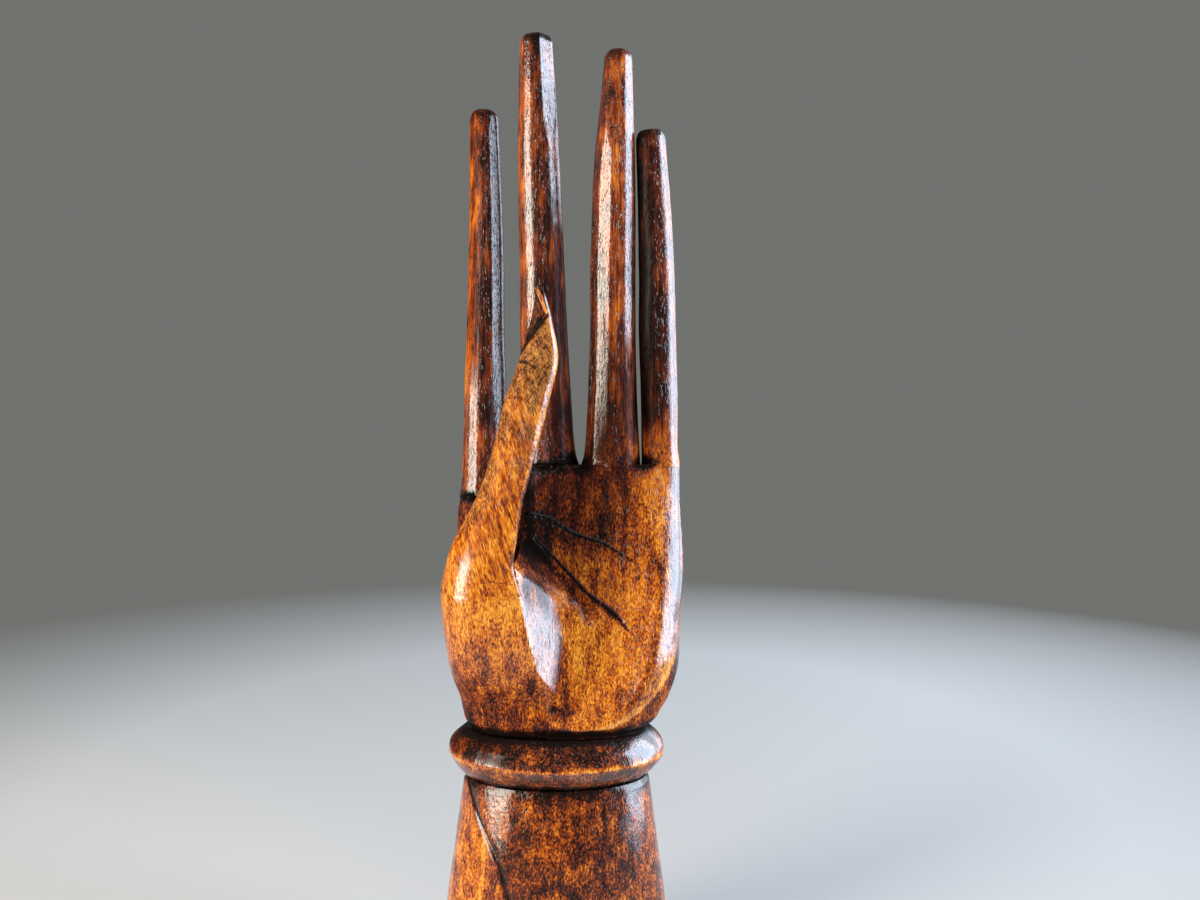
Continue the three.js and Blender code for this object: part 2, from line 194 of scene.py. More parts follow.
def along_line(x: Array, z: Array, line: Line) -> tuple[Array, Array]:
    """Measures points against a line drawn on the front of the hand.

    Args:
        x: The points' x.
        z: The points' z.
        line: The line's (x, z) corners.

    Returns:
        Each point's distance from the line, and how far along the line that is.
    """
    nearest = np.full(len(x), np.inf)
    run = np.zeros(len(x))
    done = 0.0
    for (x0, z0), (x1, z1) in itertools.pairwise(line):
        length = math.hypot(x1 - x0, z1 - z0)
        t = np.clip(((x - x0) * (x1 - x0) + (z - z0) * (z1 - z0)) / length**2, 0, 1)
        distance = np.hypot(x - x0 - t * (x1 - x0), z - z0 - t * (z1 - z0))
        run = np.where(distance < nearest, done + t * length, run)
        nearest = np.minimum(nearest, distance)
        done += length
    return nearest, run


def x_along(line: Line, heights: Array) -> Array:
    """The x of a line of (x, z) corners at heights."""
    x, z = np.array(sorted(line, key=lambda corner: corner[1])).T
    return np.interp(heights, z, x)


# Meshes


@dataclass
class Skin:
    """A closed skin: points in millimetres and faces by index."""

    points: Array
    faces: list[tuple[int, ...]]

    def raised(self, z: float) -> Skin:
        """The same skin higher up."""
        return Skin(self.points + (0, 0, z), self.faces)

    def piece(self, name: str) -> Piece:
        """Makes an object of this skin.

        Args:
            name: The object's name.

        Returns:
            The object, linked to the scene.
        """
        mesh = bpy.data.meshes.new(name)
        mesh.from_pydata((self.points * MM).tolist(), [], self.faces)
        mesh.validate()
        made = bpy.data.objects.new(name, mesh)
        bpy.context.scene.collection.objects.link(made)
        return made


def loft(levels: Array, rings: Array) -> Skin:
    """Closes a skin over one outline for each level.

    Args:
        levels: Rising heights.
        rings: Outlines as levels by points by xy, each counter-clockwise.

    Returns:
        The skin with a fan at each end.
    """
    count = rings.shape[1]
    heights = np.repeat(levels, count)[:, None]
    points = np.hstack([rings.reshape(-1, 2), heights])
    ends = [[*rings[k].mean(0), levels[k]] for k in (0, -1)]
    foot, head, top = len(points), len(points) + 1, (len(levels) - 1) * count
    faces: list[tuple[int, ...]] = []
    for j in range(count):
        n = (j + 1) % count
        faces += [(k + j, k + n, k + count + n, k + count + j) for k in range(0, top, count)]
        faces += [(foot, n, j), (head, top + j, top + n)]
    return Skin(np.vstack([points, ends]), faces)


def rounded(middle: Array, half: Array, front: Array, back: Array, squareness: float, count: int) -> Array:
    """Rounded sections for a loft.

    Args:
        middle: Each section's middle as xy.
        half: Half widths.
        front: Depths towards -Y.
        back: Depths towards +Y.
        squareness: Exponent of the section, 2 for an ellipse.
        count: Points round a section.

    Returns:
        Outlines as levels by points by xy.
    """
    angle = np.linspace(0, 2 * np.pi, count, endpoint=False)
    c, s = (np.sign(f) * np.abs(f) ** (2 / squareness) for f in (np.cos(angle), np.sin(angle)))
    depth = np.where(s < 0, front[:, None], back[:, None])
    return middle[:, None, :] + np.stack([half[:, None] * c, depth * s], axis=2)


def bore(radius: float, low: float, high: float, x: float, y: float) -> Skin:
    """An upright drill for a dowel's hole.

    Args:
        radius: The dowel's radius.
        low: Where the hole starts.
        high: Where it ends.
        x: The hole's middle across.
        y: The hole's middle in depth.

    Returns:
        The drill.
    """
    levels = np.array([low, high])
    middle, half = np.tile((x, y), (2, 1)), np.full(2, radius + DOWEL_FIT)
    return loft(levels, rounded(middle, half, half, half, ELLIPSE, BORE_POINTS))


def settle(piece: Piece) -> None:
    """Turns a piece and its modifiers into a plain mesh.

    Args:
        piece: The piece to settle.
    """
    graph = bpy.context.evaluated_depsgraph_get()
    mesh = bpy.data.meshes.new_from_object(piece.evaluated_get(graph))
    old, piece.data = piece.data, mesh
    piece.modifiers.clear()
    bpy.data.meshes.remove(old)
    mesh.name = piece.name


def discard(piece: Piece) -> None:
    """Removes a piece with its mesh.

    Args:
        piece: The piece to remove.
    """
    mesh = piece.data
    bpy.data.objects.remove(piece)
    bpy.data.meshes.remove(mesh)


def shape_with(piece: Piece, tool: Skin | Piece, how: Cut) -> None:
    """Joins a tool's solid to a piece or removes it.

    Args:
        piece: The piece to change.
        tool: The other solid, as a skin or a finished piece.
        how: Whether it is joined or removed.
    """
    other = tool.piece("tool") if isinstance(tool, Skin) else tool
    modifier = piece.modifiers.new(how.name, "BOOLEAN")
    modifier.operation = how.value
    modifier.solver = "EXACT"
    modifier.object = other
    settle(piece)
    if isinstance(tool, Skin):
        discard(other)


def even_out(piece: Piece, grid: float) -> None:
    """Remeshes a piece to even quads.

    Args:
        piece: The piece to remesh.
        grid: The quads' size in millimetres.
    """
    modifier = piece.modifiers.new("even", "REMESH")
    modifier.mode = "VOXEL"
    modifier.voxel_size = grid * MM
    settle(piece)


@dataclass(frozen=True)
class BladeMark:
    """Unevenness that a hand-held blade leaves: its grain along x, y and z, its depth and its seed."""

    size: Triple
    depth: float
    seed: int


class Surface:
    """A piece's points in millimetres, with the moves that carve and stain them."""

    def __init__(self, piece: Piece) -> None:
        """Reads the piece's mesh.

        Args:
            piece: A mesh object at the origin.
        """
        self.piece = piece
        mesh = piece.data
        ends = np.zeros(len(mesh.edges) * 2, np.int32)
        mesh.edges.foreach_get("vertices", ends)
        self.edges = ends.reshape(-1, 2)
        self.count = len(mesh.vertices)
        self.degree = np.maximum(np.bincount(ends, minlength=self.count), 1)
        self.points = self.read("co") / MM
        self.normals = self.read("normal")

    def read(self, name: str) -> Array:
        """Reads a vector of every vertex.

        Args:
            name: The vertices' property.

        Returns:
            The vectors, one a row.
        """
        flat = np.zeros(self.count * 3, np.float32)
        self.piece.data.vertices.foreach_get(name, flat)
        return flat.reshape(-1, 3).astype(float)

    def write(self) -> None:
        """Puts the points back on the mesh and reads the new normals."""
        mesh = self.piece.data
        mesh.vertices.foreach_set("co", (self.points * MM).astype(np.float32).ravel())
        mesh.update()
        self.normals = self.read("normal")

    def around(self, values: Array) -> Array:
        """Averages over each point's neighbours.

        Args:
            values: A number or a vector for each point.

        Returns:
            The mean of its neighbours' values for each point.
        """
        a, b = self.edges.T
        columns = values.reshape(self.count, -1).T
        sums = [np.bincount(a, c[b], self.count) + np.bincount(b, c[a], self.count) for c in columns]
        return (np.stack(sums, 1) / self.degree[:, None]).reshape(values.shape)

    def spread(self, values: Array, rounds: int) -> Array:
        """Blurs values over the surface.

        Args:
            values: A number for each point.
            rounds: How often each is mixed with its neighbours.

        Returns:
            The blurred values.
        """
        for _ in range(rounds):
            values = (values + self.around(values)) / 2
        return values

    def soften(self, rounds: int, where: Array) -> None:
        """Rounds the surface off.

        Args:
            rounds: How often each point moves towards its neighbours.
            where: Share of the move for each point.
        """
        weight = where[:, None] / 2
        for _ in range(rounds):
            self.points += weight * (self.around(self.points) - self.points)
        self.write()

    def push(self, distance: Array) -> None:
        """Moves points out along their normals, or in where negative."""
        self.points += self.normals * distance[:, None]
        self.write()

    def plane(self, marks: Sequence[BladeMark], where: Array, seed: int = 0) -> None:
        """Leaves the marks of a hand-held blade.

        Args:
            marks: The marks, in order.
            where: Share of their depth at each point.
            seed: Added to each mark's own seed.
        """
        for mark in marks:
            self.push(where * mark.depth * lattice_noise(self.points, mark.size, mark.seed + seed))

    def front(self, low: float, high: float) -> Array:
        """Eases from 0 to 1 as the normals turn to the front, from low to high."""
        return ramp(-self.normals[:, 1], low, high)

    def hollowness(self, rounds: int) -> Array:
        """Measures how hollow the surface is.

        Args:
            rounds: How often the measure is blurred.

        Returns:
            Curvature in 1/mm, positive in grooves and negative on edges.
        """
        a, b = self.edges.T
        step = self.points[a] - self.points[b]
        area = np.bincount(self.edges.ravel(), np.repeat((step**2).sum(1), 2), self.count) / self.degree
        inward = ((self.around(self.points) - self.points) * self.normals).sum(1)
        return self.spread(2 * inward / np.maximum(area, 1e-6), rounds)

    def paint(self, stain: Stain, values: Array) -> None:
        """Stores one stain on the mesh.

        Args:
            stain: The stain.
            values: Its strength at each point.
        """
        mesh = self.piece.data
        old = mesh.attributes.get(stain.value)
        if old is not None:
            mesh.attributes.remove(old)
        layer = mesh.attributes.new(stain.value, "FLOAT", "POINT")
        layer.data.foreach_set("value", values.astype(np.float32))


# Node trees


class NodeTree:
    """Adds and links the nodes of a material or a geometry tree."""

    def __init__(self, tree: bpy.types.NodeTree) -> None:
        """Keeps the tree to fill."""
        self.tree = tree

    def add(self, kind: str, inputs: dict[Any, Any] | None = None, **settings: Any) -> bpy.types.Node:
        """Adds a node.

        Args:
            kind: The node's type.
            inputs: Values or sockets by input name or index.
            **settings: The node's own properties.

        Returns:
            The new node.
        """
        node = self.tree.nodes.new(kind)
        for name, value in settings.items():
            setattr(node, name, value)
        for key, value in (inputs or {}).items():
            if isinstance(value, Socket):
                self.tree.links.new(value, node.inputs[key])
            else:
                node.inputs[key].default_value = value
        return node

    def math(self, operation: str, *values: Any) -> Socket:
        """One step of arithmetic on numbers or sockets."""
        return self.add("ShaderNodeMath", dict(enumerate(values)), operation=operation).outputs[0]

    def blend(self, colours: dict[str, Any]) -> Socket:
        """Mixes two colours.

        Args:
            colours: Values or sockets by the names Factor, A and B.

        Returns:
            The mixed colour.
        """
        node = self.add("ShaderNodeMix", data_type="RGBA")
        for name, value in colours.items():
            kind = "VALUE" if name == "Factor" else "RGBA"
            socket = next(i for i in node.inputs if i.name == name and i.type == kind)
            if isinstance(value, Socket):
                self.tree.links.new(value, socket)
            else:
                socket.default_value = value
        return next(o for o in node.outputs if o.type == "RGBA")

    def span(self, value: Any, low: float, high: float, start: Any, end: Any) -> Socket:
        """Maps low to start and high to end, held at the ends."""
        inputs = {"Value": value, "From Min": low, "From Max": high, "To Min": start, "To Max": end}
        return self.add("ShaderNodeMapRange", inputs).outputs["Result"]


class ShapeTree(NodeTree):
    """A geometry tree with named inputs that ends in a plain mesh."""

    def __init__(self, name: str, inputs: Sequence[str]) -> None:
        """Starts a tree.

        Args:
            name: The tree's name.
            inputs: Names of its number inputs.
        """
        group = bpy.data.node_groups.new(name, "GeometryNodeTree")
        super().__init__(group)
        for each in inputs:
            group.interface.new_socket(each, in_out="INPUT", socket_type="NodeSocketFloat")
        group.interface.new_socket("Place", in_out="INPUT", socket_type="NodeSocketVector")
        group.interface.new_socket("Finish", in_out="INPUT", socket_type="NodeSocketMaterial")
        group.interface.new_socket("Geometry", in_out="OUTPUT", socket_type="NodeSocketGeometry")
        self.inputs = self.add("NodeGroupInput").outputs

    def sheet(self, around: int, rows: int) -> tuple[Any, Any, Any]:
        """Adds a grid to wrap into a body.

        Args:
            around: Points round the body.
            rows: Points along its profile.

        Returns:
            The grid, the angle round the body, and the share along the profile.
        """
        size = {"Size X": 1.0, "Size Y": 1.0, "Vertices X": around + 1, "Vertices Y": rows}
        grid = self.add("GeometryNodeMeshGrid", size).outputs["Mesh"]
        place = self.add("GeometryNodeInputPosition").outputs["Position"]
        split = self.add("ShaderNodeSeparateXYZ", {"Vector": place}).outputs
        angle = self.math("MULTIPLY", self.math("ADD", split["X"], 0.5), 2 * math.pi)
        return grid, angle, self.math("ADD", split["Y"], 0.5)

    def close(self, grid: Any, x: Any, y: Any, z: Any) -> None:
        """Wraps the grid, closes its seams and ends the tree.

        Args:
            grid: The grid from sheet().
            x: Millimetres across, for each point.
            y: Millimetres deep.
            z: Millimetres high.
        """
        place = self.add("ShaderNodeCombineXYZ", {"X": x, "Y": y, "Z": z}).outputs[0]
        moved = self.add("GeometryNodeSetPosition", {"Geometry": grid, "Position": place}).outputs[0]
        seams = {"Geometry": moved, "Distance": SEAM_REACH}
        closed = self.add("GeometryNodeMergeByDistance", seams).outputs[0]
        size = {"Geometry": closed, "Translation": self.inputs["Place"], "Scale": (MM, MM, MM)}
        sized = self.add("GeometryNodeTransform", size).outputs[0]
        real = self.add("GeometryNodeRealizeInstances", {"Geometry": sized}).outputs[0]
        finish = {"Geometry": real, "Material": self.inputs["Finish"]}
        done = self.add("GeometryNodeSetMaterial", finish).outputs[0]
        self.add("NodeGroupOutput", {"Geometry": done})

    def run(self, name: str, values: dict[str, Any]) -> Piece:
        """Makes a piece from the tree.

        Args:
            name: The piece's name.
            values: The tree's inputs by name.

        Returns:
            A plain mesh object.
        """
        piece = bpy.data.objects.new(name, bpy.data.meshes.new(name))
        bpy.context.scene.collection.objects.link(piece)
        modifier = piece.modifiers.new(self.tree.name, "NODES")
        modifier.node_group = self.tree
        for item in self.tree.interface.items_tree:
            if item.in_out == "INPUT":
                modifier[item.identifier] = values[item.name]
        settle(piece)
        body = bmesh.new()
        body.from_mesh(piece.data)
        bmesh.ops.recalc_face_normals(body, faces=body.faces)
        body.to_mesh(piece.data)
        body.free()
        return piece


# Finishes


@dataclass(frozen=True)
class Varnish:
    """The clear gloss over the stain."""

    coat: float = 1.0
    coat_ior: float = 1.7
    coat_roughness: float = 0.12
    roughness: Pair = (0.40, 0.85)


@dataclass(frozen=True)
class Scratches:
    """Fine scratches that run one way: their size, turn, place in the noise, and how rare they are."""

    size: Triple
    turn: float
    offset: float
    sparse: Pair


@dataclass(frozen=True)
class StainedWood:
    """One stained wood: how strong and how large its markings are under which varnish."""

    name: str
    slot: Slot
    fleck_size: Triple
    fleck: float
    streak: float
    mottle: float
    pores: float
    grain_size: Triple = (0.6, 0.6, 13.0)
    streak_size: Triple = (1.9, 1.9, 34.0)
    mottle_size: Triple = (9.0, 9.0, 18.0)
    hammer_size: Triple = (1.7, 1.7, 3.2)
    rising: Scratches = Scratches((0.42, 0.42, 2.8), 58.0, 0.17, (0.55, 0.62))
    falling: Scratches = Scratches((0.42, 0.42, 2.4), -24.0, 0.41, (0.60, 0.66))
    # How much the dirt and the painted shade darken the tone.
    dirt_and_shade_darkens: float = 0.75
    wear_lightens: float = 0.22
    scratch_darkens: float = 0.50
    bump: float = 0.7
    hammer_height: float = 0.10
    grain_height: float = 0.06
    tilt: float = 0.0
    varnish: Varnish = field(default_factory=Varnish)

    shades: tuple[tuple[float, Colour], ...] = (
        (0.0, (0.006, 0.003, 0.002)),
        (0.2, (0.032, 0.007, 0.004)),
        (0.4, (0.130, 0.022, 0.006)),
        (0.6, (0.380, 0.076, 0.008)),
        (0.8, (0.640, 0.190, 0.010)),
        (1.0, (0.820, 0.370, 0.040)),
    )
    # Colours where the wood is scuffed: greyer than the stain, scuffed varnish with a painted grey-gold
    # sheen.
    scuffed_and_sheen: tuple[tuple[float, Colour], ...] = (
        (0.0, (0.020, 0.008, 0.004)),
        (0.5, (0.240, 0.085, 0.020)),
        (1.0, (0.600, 0.280, 0.075)),
    )

    def material(self) -> Material:
        """Builds the procedural material.

        Returns:
            A new material that reads object coordinates and the stain attributes.
        """
        made = bpy.data.materials.new(self.name)
        made.use_nodes = True
        made.node_tree.nodes.clear()
        tree = NodeTree(made.node_tree)
        place = tree.add("ShaderNodeTexCoord").outputs["Object"]

        def noise(size: Sequence[float], detail: float, offset: float, turn: float = 0.0) -> Any:
            """Adds noise.

            Args:
                size: Its grain along x, y and z in millimetres.
                detail: How many finer layers it has.
                offset: Its place in the noise.
                turn: Its turn from the wood's grain in degrees.

            Returns:
                A value round a half.
            """
            spread = {
                "Vector": place,
                "Location": (offset,) * 3,
                "Rotation": (0.0, math.radians(self.tilt + turn), 0.0),
                "Scale": tuple(s * MM for s in size),
            }
            at = tree.add("ShaderNodeMapping", spread, vector_type="TEXTURE").outputs[0]
            look = {"Vector": at, "Scale": 1.0, "Detail": detail, "Roughness": 0.6}
            return tree.add("ShaderNodeTexNoise", look).outputs["Fac"]

        def painted(stain: Stain) -> Socket:
            """A stain attribute."""
            return tree.add("ShaderNodeAttribute", attribute_name=stain.value).outputs["Fac"]

        def tinted(tone: Any, shades: Sequence[tuple[float, Colour]]) -> Socket:
            """Colours a tone.

            Args:
                tone: How light the stain is, painted light and shade included.
                shades: Rising tones with their colours.

            Returns:
                The tone's colour.
            """
            shade = tree.add("ShaderNodeValToRGB", {"Fac": tone})
            stops = shade.color_ramp.elements
            stops[0].position, stops[1].position = 0.0, 1.0
            for at, _ in shades[1:-1]:
                stops.new(at)
            for stop, (_, colour) in zip(stops, shades):
                stop.color = (*colour, 1.0)
            return shade.outputs["Color"]

        def scratched(scratches: Scratches) -> Socket:
            """Where scratches that run one way lie."""
            found = noise(scratches.size, 1.0, scratches.offset, scratches.turn)
            return tree.span(found, *scratches.sparse, 0.0, 1.0)

        across, _, along = self.fleck_size
        short = noise(self.fleck_size, 2.0, 0.31)
        long = noise(self.grain_size, 2.0, 0.67)
        straight = painted(Stain.GRAIN)
        fleck = tree.math("MULTIPLY_ADD", tree.math("SUBTRACT", long, short), straight, short)
        streak = noise(self.streak_size, 3.0, 0.53)
        mottle = noise(self.mottle_size, 3.0, 0.77)
        pore = tree.span(noise((across * 0.8, across * 0.8, along * 2.2), 1.0, 0.13), 0.62, 0.72, 0.0, 1.0)
        hammer = noise(self.hammer_size, 1.0, 0.91)
        scuff = painted(Stain.SCUFF_AND_SHEEN)
        crossed = tree.math("MAXIMUM", scratched(self.rising), scratched(self.falling))
        scratch = tree.math("MULTIPLY", crossed, scuff)

        # The tone holds the stain together with painted light and shade.
        tone = painted(Stain.TONE)
        flecked = tree.math("MULTIPLY_ADD", straight, -0.45 * self.fleck, self.fleck)
        for pattern, gain in ((fleck, flecked), (streak, self.streak), (mottle, self.mottle)):
            tone = tree.math("MULTIPLY_ADD", tree.math("SUBTRACT", pattern, 0.5), gain, tone)
        # This attribute holds real dirt and painted shade.
        dirt = painted(Stain.DIRT_AND_SHADE)
        wear = painted(Stain.WEAR)
        marks = ((dirt, -self.dirt_and_shade_darkens), (wear, self.wear_lightens))
        lines = ((pore, -self.pores), (scratch, -self.scratch_darkens))
        for mark, gain in (*marks, *lines):
            tone = tree.math("MULTIPLY_ADD", mark, gain, tone)
        # Scuffed places take the scuffed colours, which hold a painted sheen.
        two = {"Factor": scuff, "A": tinted(tone, self.shades), "B": tinted(tone, self.scuffed_and_sheen)}
        shade = tree.blend(two)

        dull = tree.math("MAXIMUM", tree.math("MAXIMUM", pore, dirt), tree.math("MULTIPLY", fleck, 0.5))
        dull = tree.math("MAXIMUM", dull, tree.math("MULTIPLY", scuff, 0.8))
        matte = painted(Stain.MATTE)
        rough = tree.span(tree.math("MAXIMUM", dull, matte), 0.0, 1.0, *self.varnish.roughness)
        bare = tree.math("MAXIMUM", dirt, tree.math("MULTIPLY", scuff, 0.9))
        bare = tree.math("MAXIMUM", bare, matte)
        fine = tree.math("MULTIPLY_ADD", pore, -0.8, tree.math("MULTIPLY", short, 1.2))
        fine = tree.math("MULTIPLY_ADD", scratch, -1.6, fine)
        fine = tree.math("MULTIPLY", fine, tree.math("MULTIPLY_ADD", straight, 1.0, 1.0))
        low = {"Height": hammer, "Strength": self.bump, "Distance": self.hammer_height * MM}
        waves = tree.add("ShaderNodeBump", low).outputs["Normal"]
        high = {"Height": fine, "Strength": self.bump, "Distance": self.grain_height * MM, "Normal": waves}
        grain = tree.add("ShaderNodeBump", high).outputs["Normal"]
        look = {
            "Base Color": shade,
            "Roughness": rough,
            "IOR": 1.5,
            "Specular IOR Level": 0.06,
            "Coat Weight": tree.span(bare, 0.1, 1.0, self.varnish.coat, 0.0),
            "Coat Roughness": self.varnish.coat_roughness,
            "Coat IOR": self.varnish.coat_ior,
            "Normal": grain,
            "Coat Normal": grain,
        }
        shader = tree.add("ShaderNodeBsdfPrincipled", look).outputs["BSDF"]
        tree.add("ShaderNodeOutputMaterial", {"Surface": shader})
        return made


AMBER = StainedWood(
    "amber_thumb",
    Slot.AMBER,
    fleck_size=(0.50, 0.50, 1.9),
    fleck=1.25,
    streak=1.2,
    mottle=0.8,
    pores=0.55,
    streak_size=(1.5, 1.5, 8.0),
    mottle_size=(5.0, 5.0, 11.0),
    tilt=-16.0,
)
RUSSET = StainedWood(
    "russet_palm",
    Slot.RUSSET,
    fleck_size=(0.55, 0.55, 1.2),
    fleck=1.55,
    streak=0.7,
    mottle=1.0,
    pores=0.55,
    mottle_size=(5.0, 5.0, 11.0),
)
DARK = StainedWood(
    "dark_wrist",
    Slot.DARK,
    fleck_size=(0.60, 0.60, 1.0),
    fleck=1.6,
    streak=0.4,
    mottle=1.3,
    pores=0.40,
    mottle_size=(4.0, 4.0, 6.0),
)
BARE = StainedWood(
    "bare_dowels",
    Slot.DOWEL,
    fleck_size=(0.4, 0.4, 4.0),
    fleck=0.5,
    streak=0.5,
    mottle=0.3,
    pores=0.2,
    varnish=Varnish(coat=0.0, roughness=(0.6, 0.8)),
    shades=((0.0, (0.20, 0.11, 0.05)), (0.6, (0.44, 0.29, 0.14)), (1.0, (0.60, 0.43, 0.24))),
)


@dataclass(frozen=True)
class Spot:
    """A soft patch on the front of the hand: its middle, its reach, and how strong it is."""

    x: float
    z: float
    wide: float
    tall: float
    strength: float


def patches(points: Array, spots: Sequence[Spot]) -> Array:
    """Adds up soft patches.

    Args:
        points: Points in millimetres.
        spots: The patches.

    Returns:
        Their strength at each point.
    """
    x, _, z = points.T
    total = np.zeros(len(points))
    for spot in spots:
        total += spot.strength * np.exp(-(((x - spot.x) / spot.wide) ** 2) - ((z - spot.z) / spot.tall) ** 2)
    return total


ROOT_POCKETS = (
    Spot(7.8, 185.4, 3.6, 2.6, 1.1),
    Spot(30.6, 185.6, 3.6, 2.2, 1.1),
    Spot(-4.0, 183.8, 8.0, 1.9, 1.0),
    Spot(3.0, 186.5, 4.0, 1.6, 0.7),
    Spot(-29.5, 174.0, 3.0, 1.8, 0.9),
)


def pocket_dirt(points: Array, ragged: Array, seed: int) -> Array:
    """Dirt in the pockets at the finger roots.

    Args:
        points: Points in millimetres.
        ragged: Noise that breaks its edge up.
        seed: Picks its specks.

    Returns:
        How dirty each point is.
    """
    specks = lattice_noise(points, (1.1, 1.1, 0.8), seed)
    return 1.3 * patches(points, ROOT_POCKETS) * (1.0 + 0.7 * ragged + 0.5 * specks)


def stains(tone: Array, dirt: Array, wear: Array, matte: Array) -> Stains:
    """The stains that every carved piece has, painted light and shade included."""
    marks = {Stain.DIRT_AND_SHADE: np.clip(dirt, 0, 1), Stain.WEAR: np.clip(wear, 0, 1)}
    return {Stain.TONE: tone, **marks, Stain.MATTE: matte}


# Pieces


class CarvedPiece(ABC):
    """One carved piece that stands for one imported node."""

    node: str
    finish: StainedWood
    material: Material
    piece: Piece

    @abstractmethod
    def build(self) -> Piece:
        """Makes the piece's plain form.

        Returns:
            The piece, not yet carved.
        """

    @abstractmethod
    def carve(self, surface: Surface) -> None:
        """Cuts the piece's details.

        Args:
            surface: Its surface.
        """

    @abstractmethod
    def stain(self, surface: Surface) -> Stains:
        """Says how light, dirty and worn each point is, with painted light and shade in the lightness and
        painted shade in the dirt.

        Args:
            surface: Its surface.

        Returns:
            Each stain's strength at each point.
        """

    def dress(self) -> None:
        """Gives the piece its finish and its place in the frame."""
        piece, mesh = self.piece, self.piece.data
        mesh.polygons.foreach_set("material_index", np.zeros(len(mesh.polygons), np.int32))
        mesh.materials.clear()
        mesh.materials.append(self.material)
        mesh.shade_smooth()
        mesh.set_sharp_from_angle(angle=SHARP_ANGLE)
        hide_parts(self.node)
        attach(piece, BODY)

    def make(self, material: Material) -> None:
        """Builds, carves, stains and dresses the piece.

        Args:
            material: Its finish.
        """
        self.material = material
        self.piece = self.build()
        surface = Surface(self.piece)
        self.carve(surface)
        for stain, values in self.stain(surface).items():
            surface.paint(stain, values)
        self.dress()
        LOG.info("%s: %d faces", self.piece.name, len(self.piece.data.polygons))


@dataclass(frozen=True)
class WristOval:
    """The oval that forearm, collar and palm share."""

    half_width: float = 31.8
    half_depth: float = 19.5

    def rings(self, swell: Array, count: int) -> Array:
        """Ovals wider by an equal amount all round.

        Args:
            swell: How much wider each oval is.
            count: Points round an oval.

        Returns:
            Outlines as levels by points by xy.
        """
        middle = np.zeros((len(swell), 2))
        depth = self.half_depth + swell
        return rounded(middle, self.half_width + swell, depth, depth, ELLIPSE, count)


@dataclass
class Forearm(CarvedPiece):
    """The post that the hand stands on."""

    node: str = "forearm"
    finish: StainedWood = DARK
    oval: WristOval = field(default_factory=WristOval)
    height: float = 78.0
    foot_swell: float = 5.4
    foot_round: float = 2.5
    foot_height: float = 3.0
    belly_height: float = 27.0
    belly_swell: float = 6.6
    taper_height: float = 53.0
    taper_swell: float = 3.6
    dowel_radius: float = 9.0
    dowel_bite: float = 15.0
    knife_line: Line = ((-30.0, 77.0), (-25.5, 67.0), (-18.3, 54.9), (-13.0, 40.0))
    knife_depth: float = 0.35
    knife_width: float = 0.7
    rim_ease: float = 0.7
    rim_band: float = 2.2
    around: int = 320
    foot_rows: int = 12
    rows: int = 140
    blade: tuple[BladeMark, ...] = (BladeMark((11, 11, 26), 0.35, 11), BladeMark((3.5, 3.5, 9), 0.10, 12))

    def build(self) -> Piece:
        """Lofts the post and bores it for the wrist's dowel.

        Returns:
            The post.
        """
        places = (0, self.foot_round, self.belly_height, self.taper_height, self.height)
        foot = self.foot_swell - self.foot_round
        swells = (foot, self.foot_swell, self.belly_swell, self.taper_swell, 0)
        low = np.linspace(0, self.foot_height, self.foot_rows, endpoint=False)
        levels = np.concatenate([low, np.linspace(self.foot_height, self.height, self.rows)])
        rings = self.oval.rings(between(places, swells, levels), self.around)
        post = loft(levels, rings).piece("forearm_post")
        socket = bore(self.dowel_radius, self.height - self.dowel_bite - DOWEL_FIT, self.height + 1, 0, 0)
        shape_with(post, socket, Cut.REMOVE)
        return post

    def carve(self, surface: Surface) -> None:
        """Leaves blade marks, a long knife line and an eased rim.

        Args:
            surface: Its surface.
        """
        x, y, z = surface.points.T
        inside = ramp(z, 0.6, 4.0)
        surface.plane(self.blade, inside)
        distance, _ = along_line(x, z, self.knife_line)
        front = surface.front(0.0, 0.3)
        surface.push(-self.knife_depth * front * inside * bell(distance, self.knife_width))
        outer = ramp(np.hypot(x, y), 12, 15)
        surface.push(-self.rim_ease * outer * ramp(z, self.height - self.rim_band, self.height))

    def stain(self, surface: Surface) -> Stains:
        """Lighter on its left, a little lighter where it faces the window as painted light, mottled in front,
        dark under the collar.

        Args:
            surface: Its surface.

        Returns:
            Each stain's strength at each point.
        """
        points, normals = surface.points, surface.normals
        x, _, z = points.T
        left = ramp(x_along(self.knife_line, z) - x, -1.0, 1.5) * ramp(-normals[:, 0], 0.1, 0.5)
        # Painted light: a little lighter where it faces the window on the right.
        right = ramp(normals[:, 0], 0.5, 0.95)
        tone = 0.40 + 0.26 * left + 0.05 * right
        tone += 0.12 * lattice_noise(points, (9, 9, 13), 21)
        distance, _ = along_line(x, z, self.knife_line)
        dirt = 0.6 * bell(distance, 0.6) * surface.front(0, 0.3)
        below = ramp(z, self.height - 6, self.height - 0.5)
        dirt += below * (0.45 + 0.3 * lattice_noise(points, (3, 3, 2), 22))
        wear = ramp(-surface.hollowness(3), 0.3, 1.2) * ramp(4 - z, 0, 3)
        matte = 0.55 * surface.front(0.2, 0.7) * ramp(70 - z, 0, 12)
        return stains(tone, dirt, wear, matte)


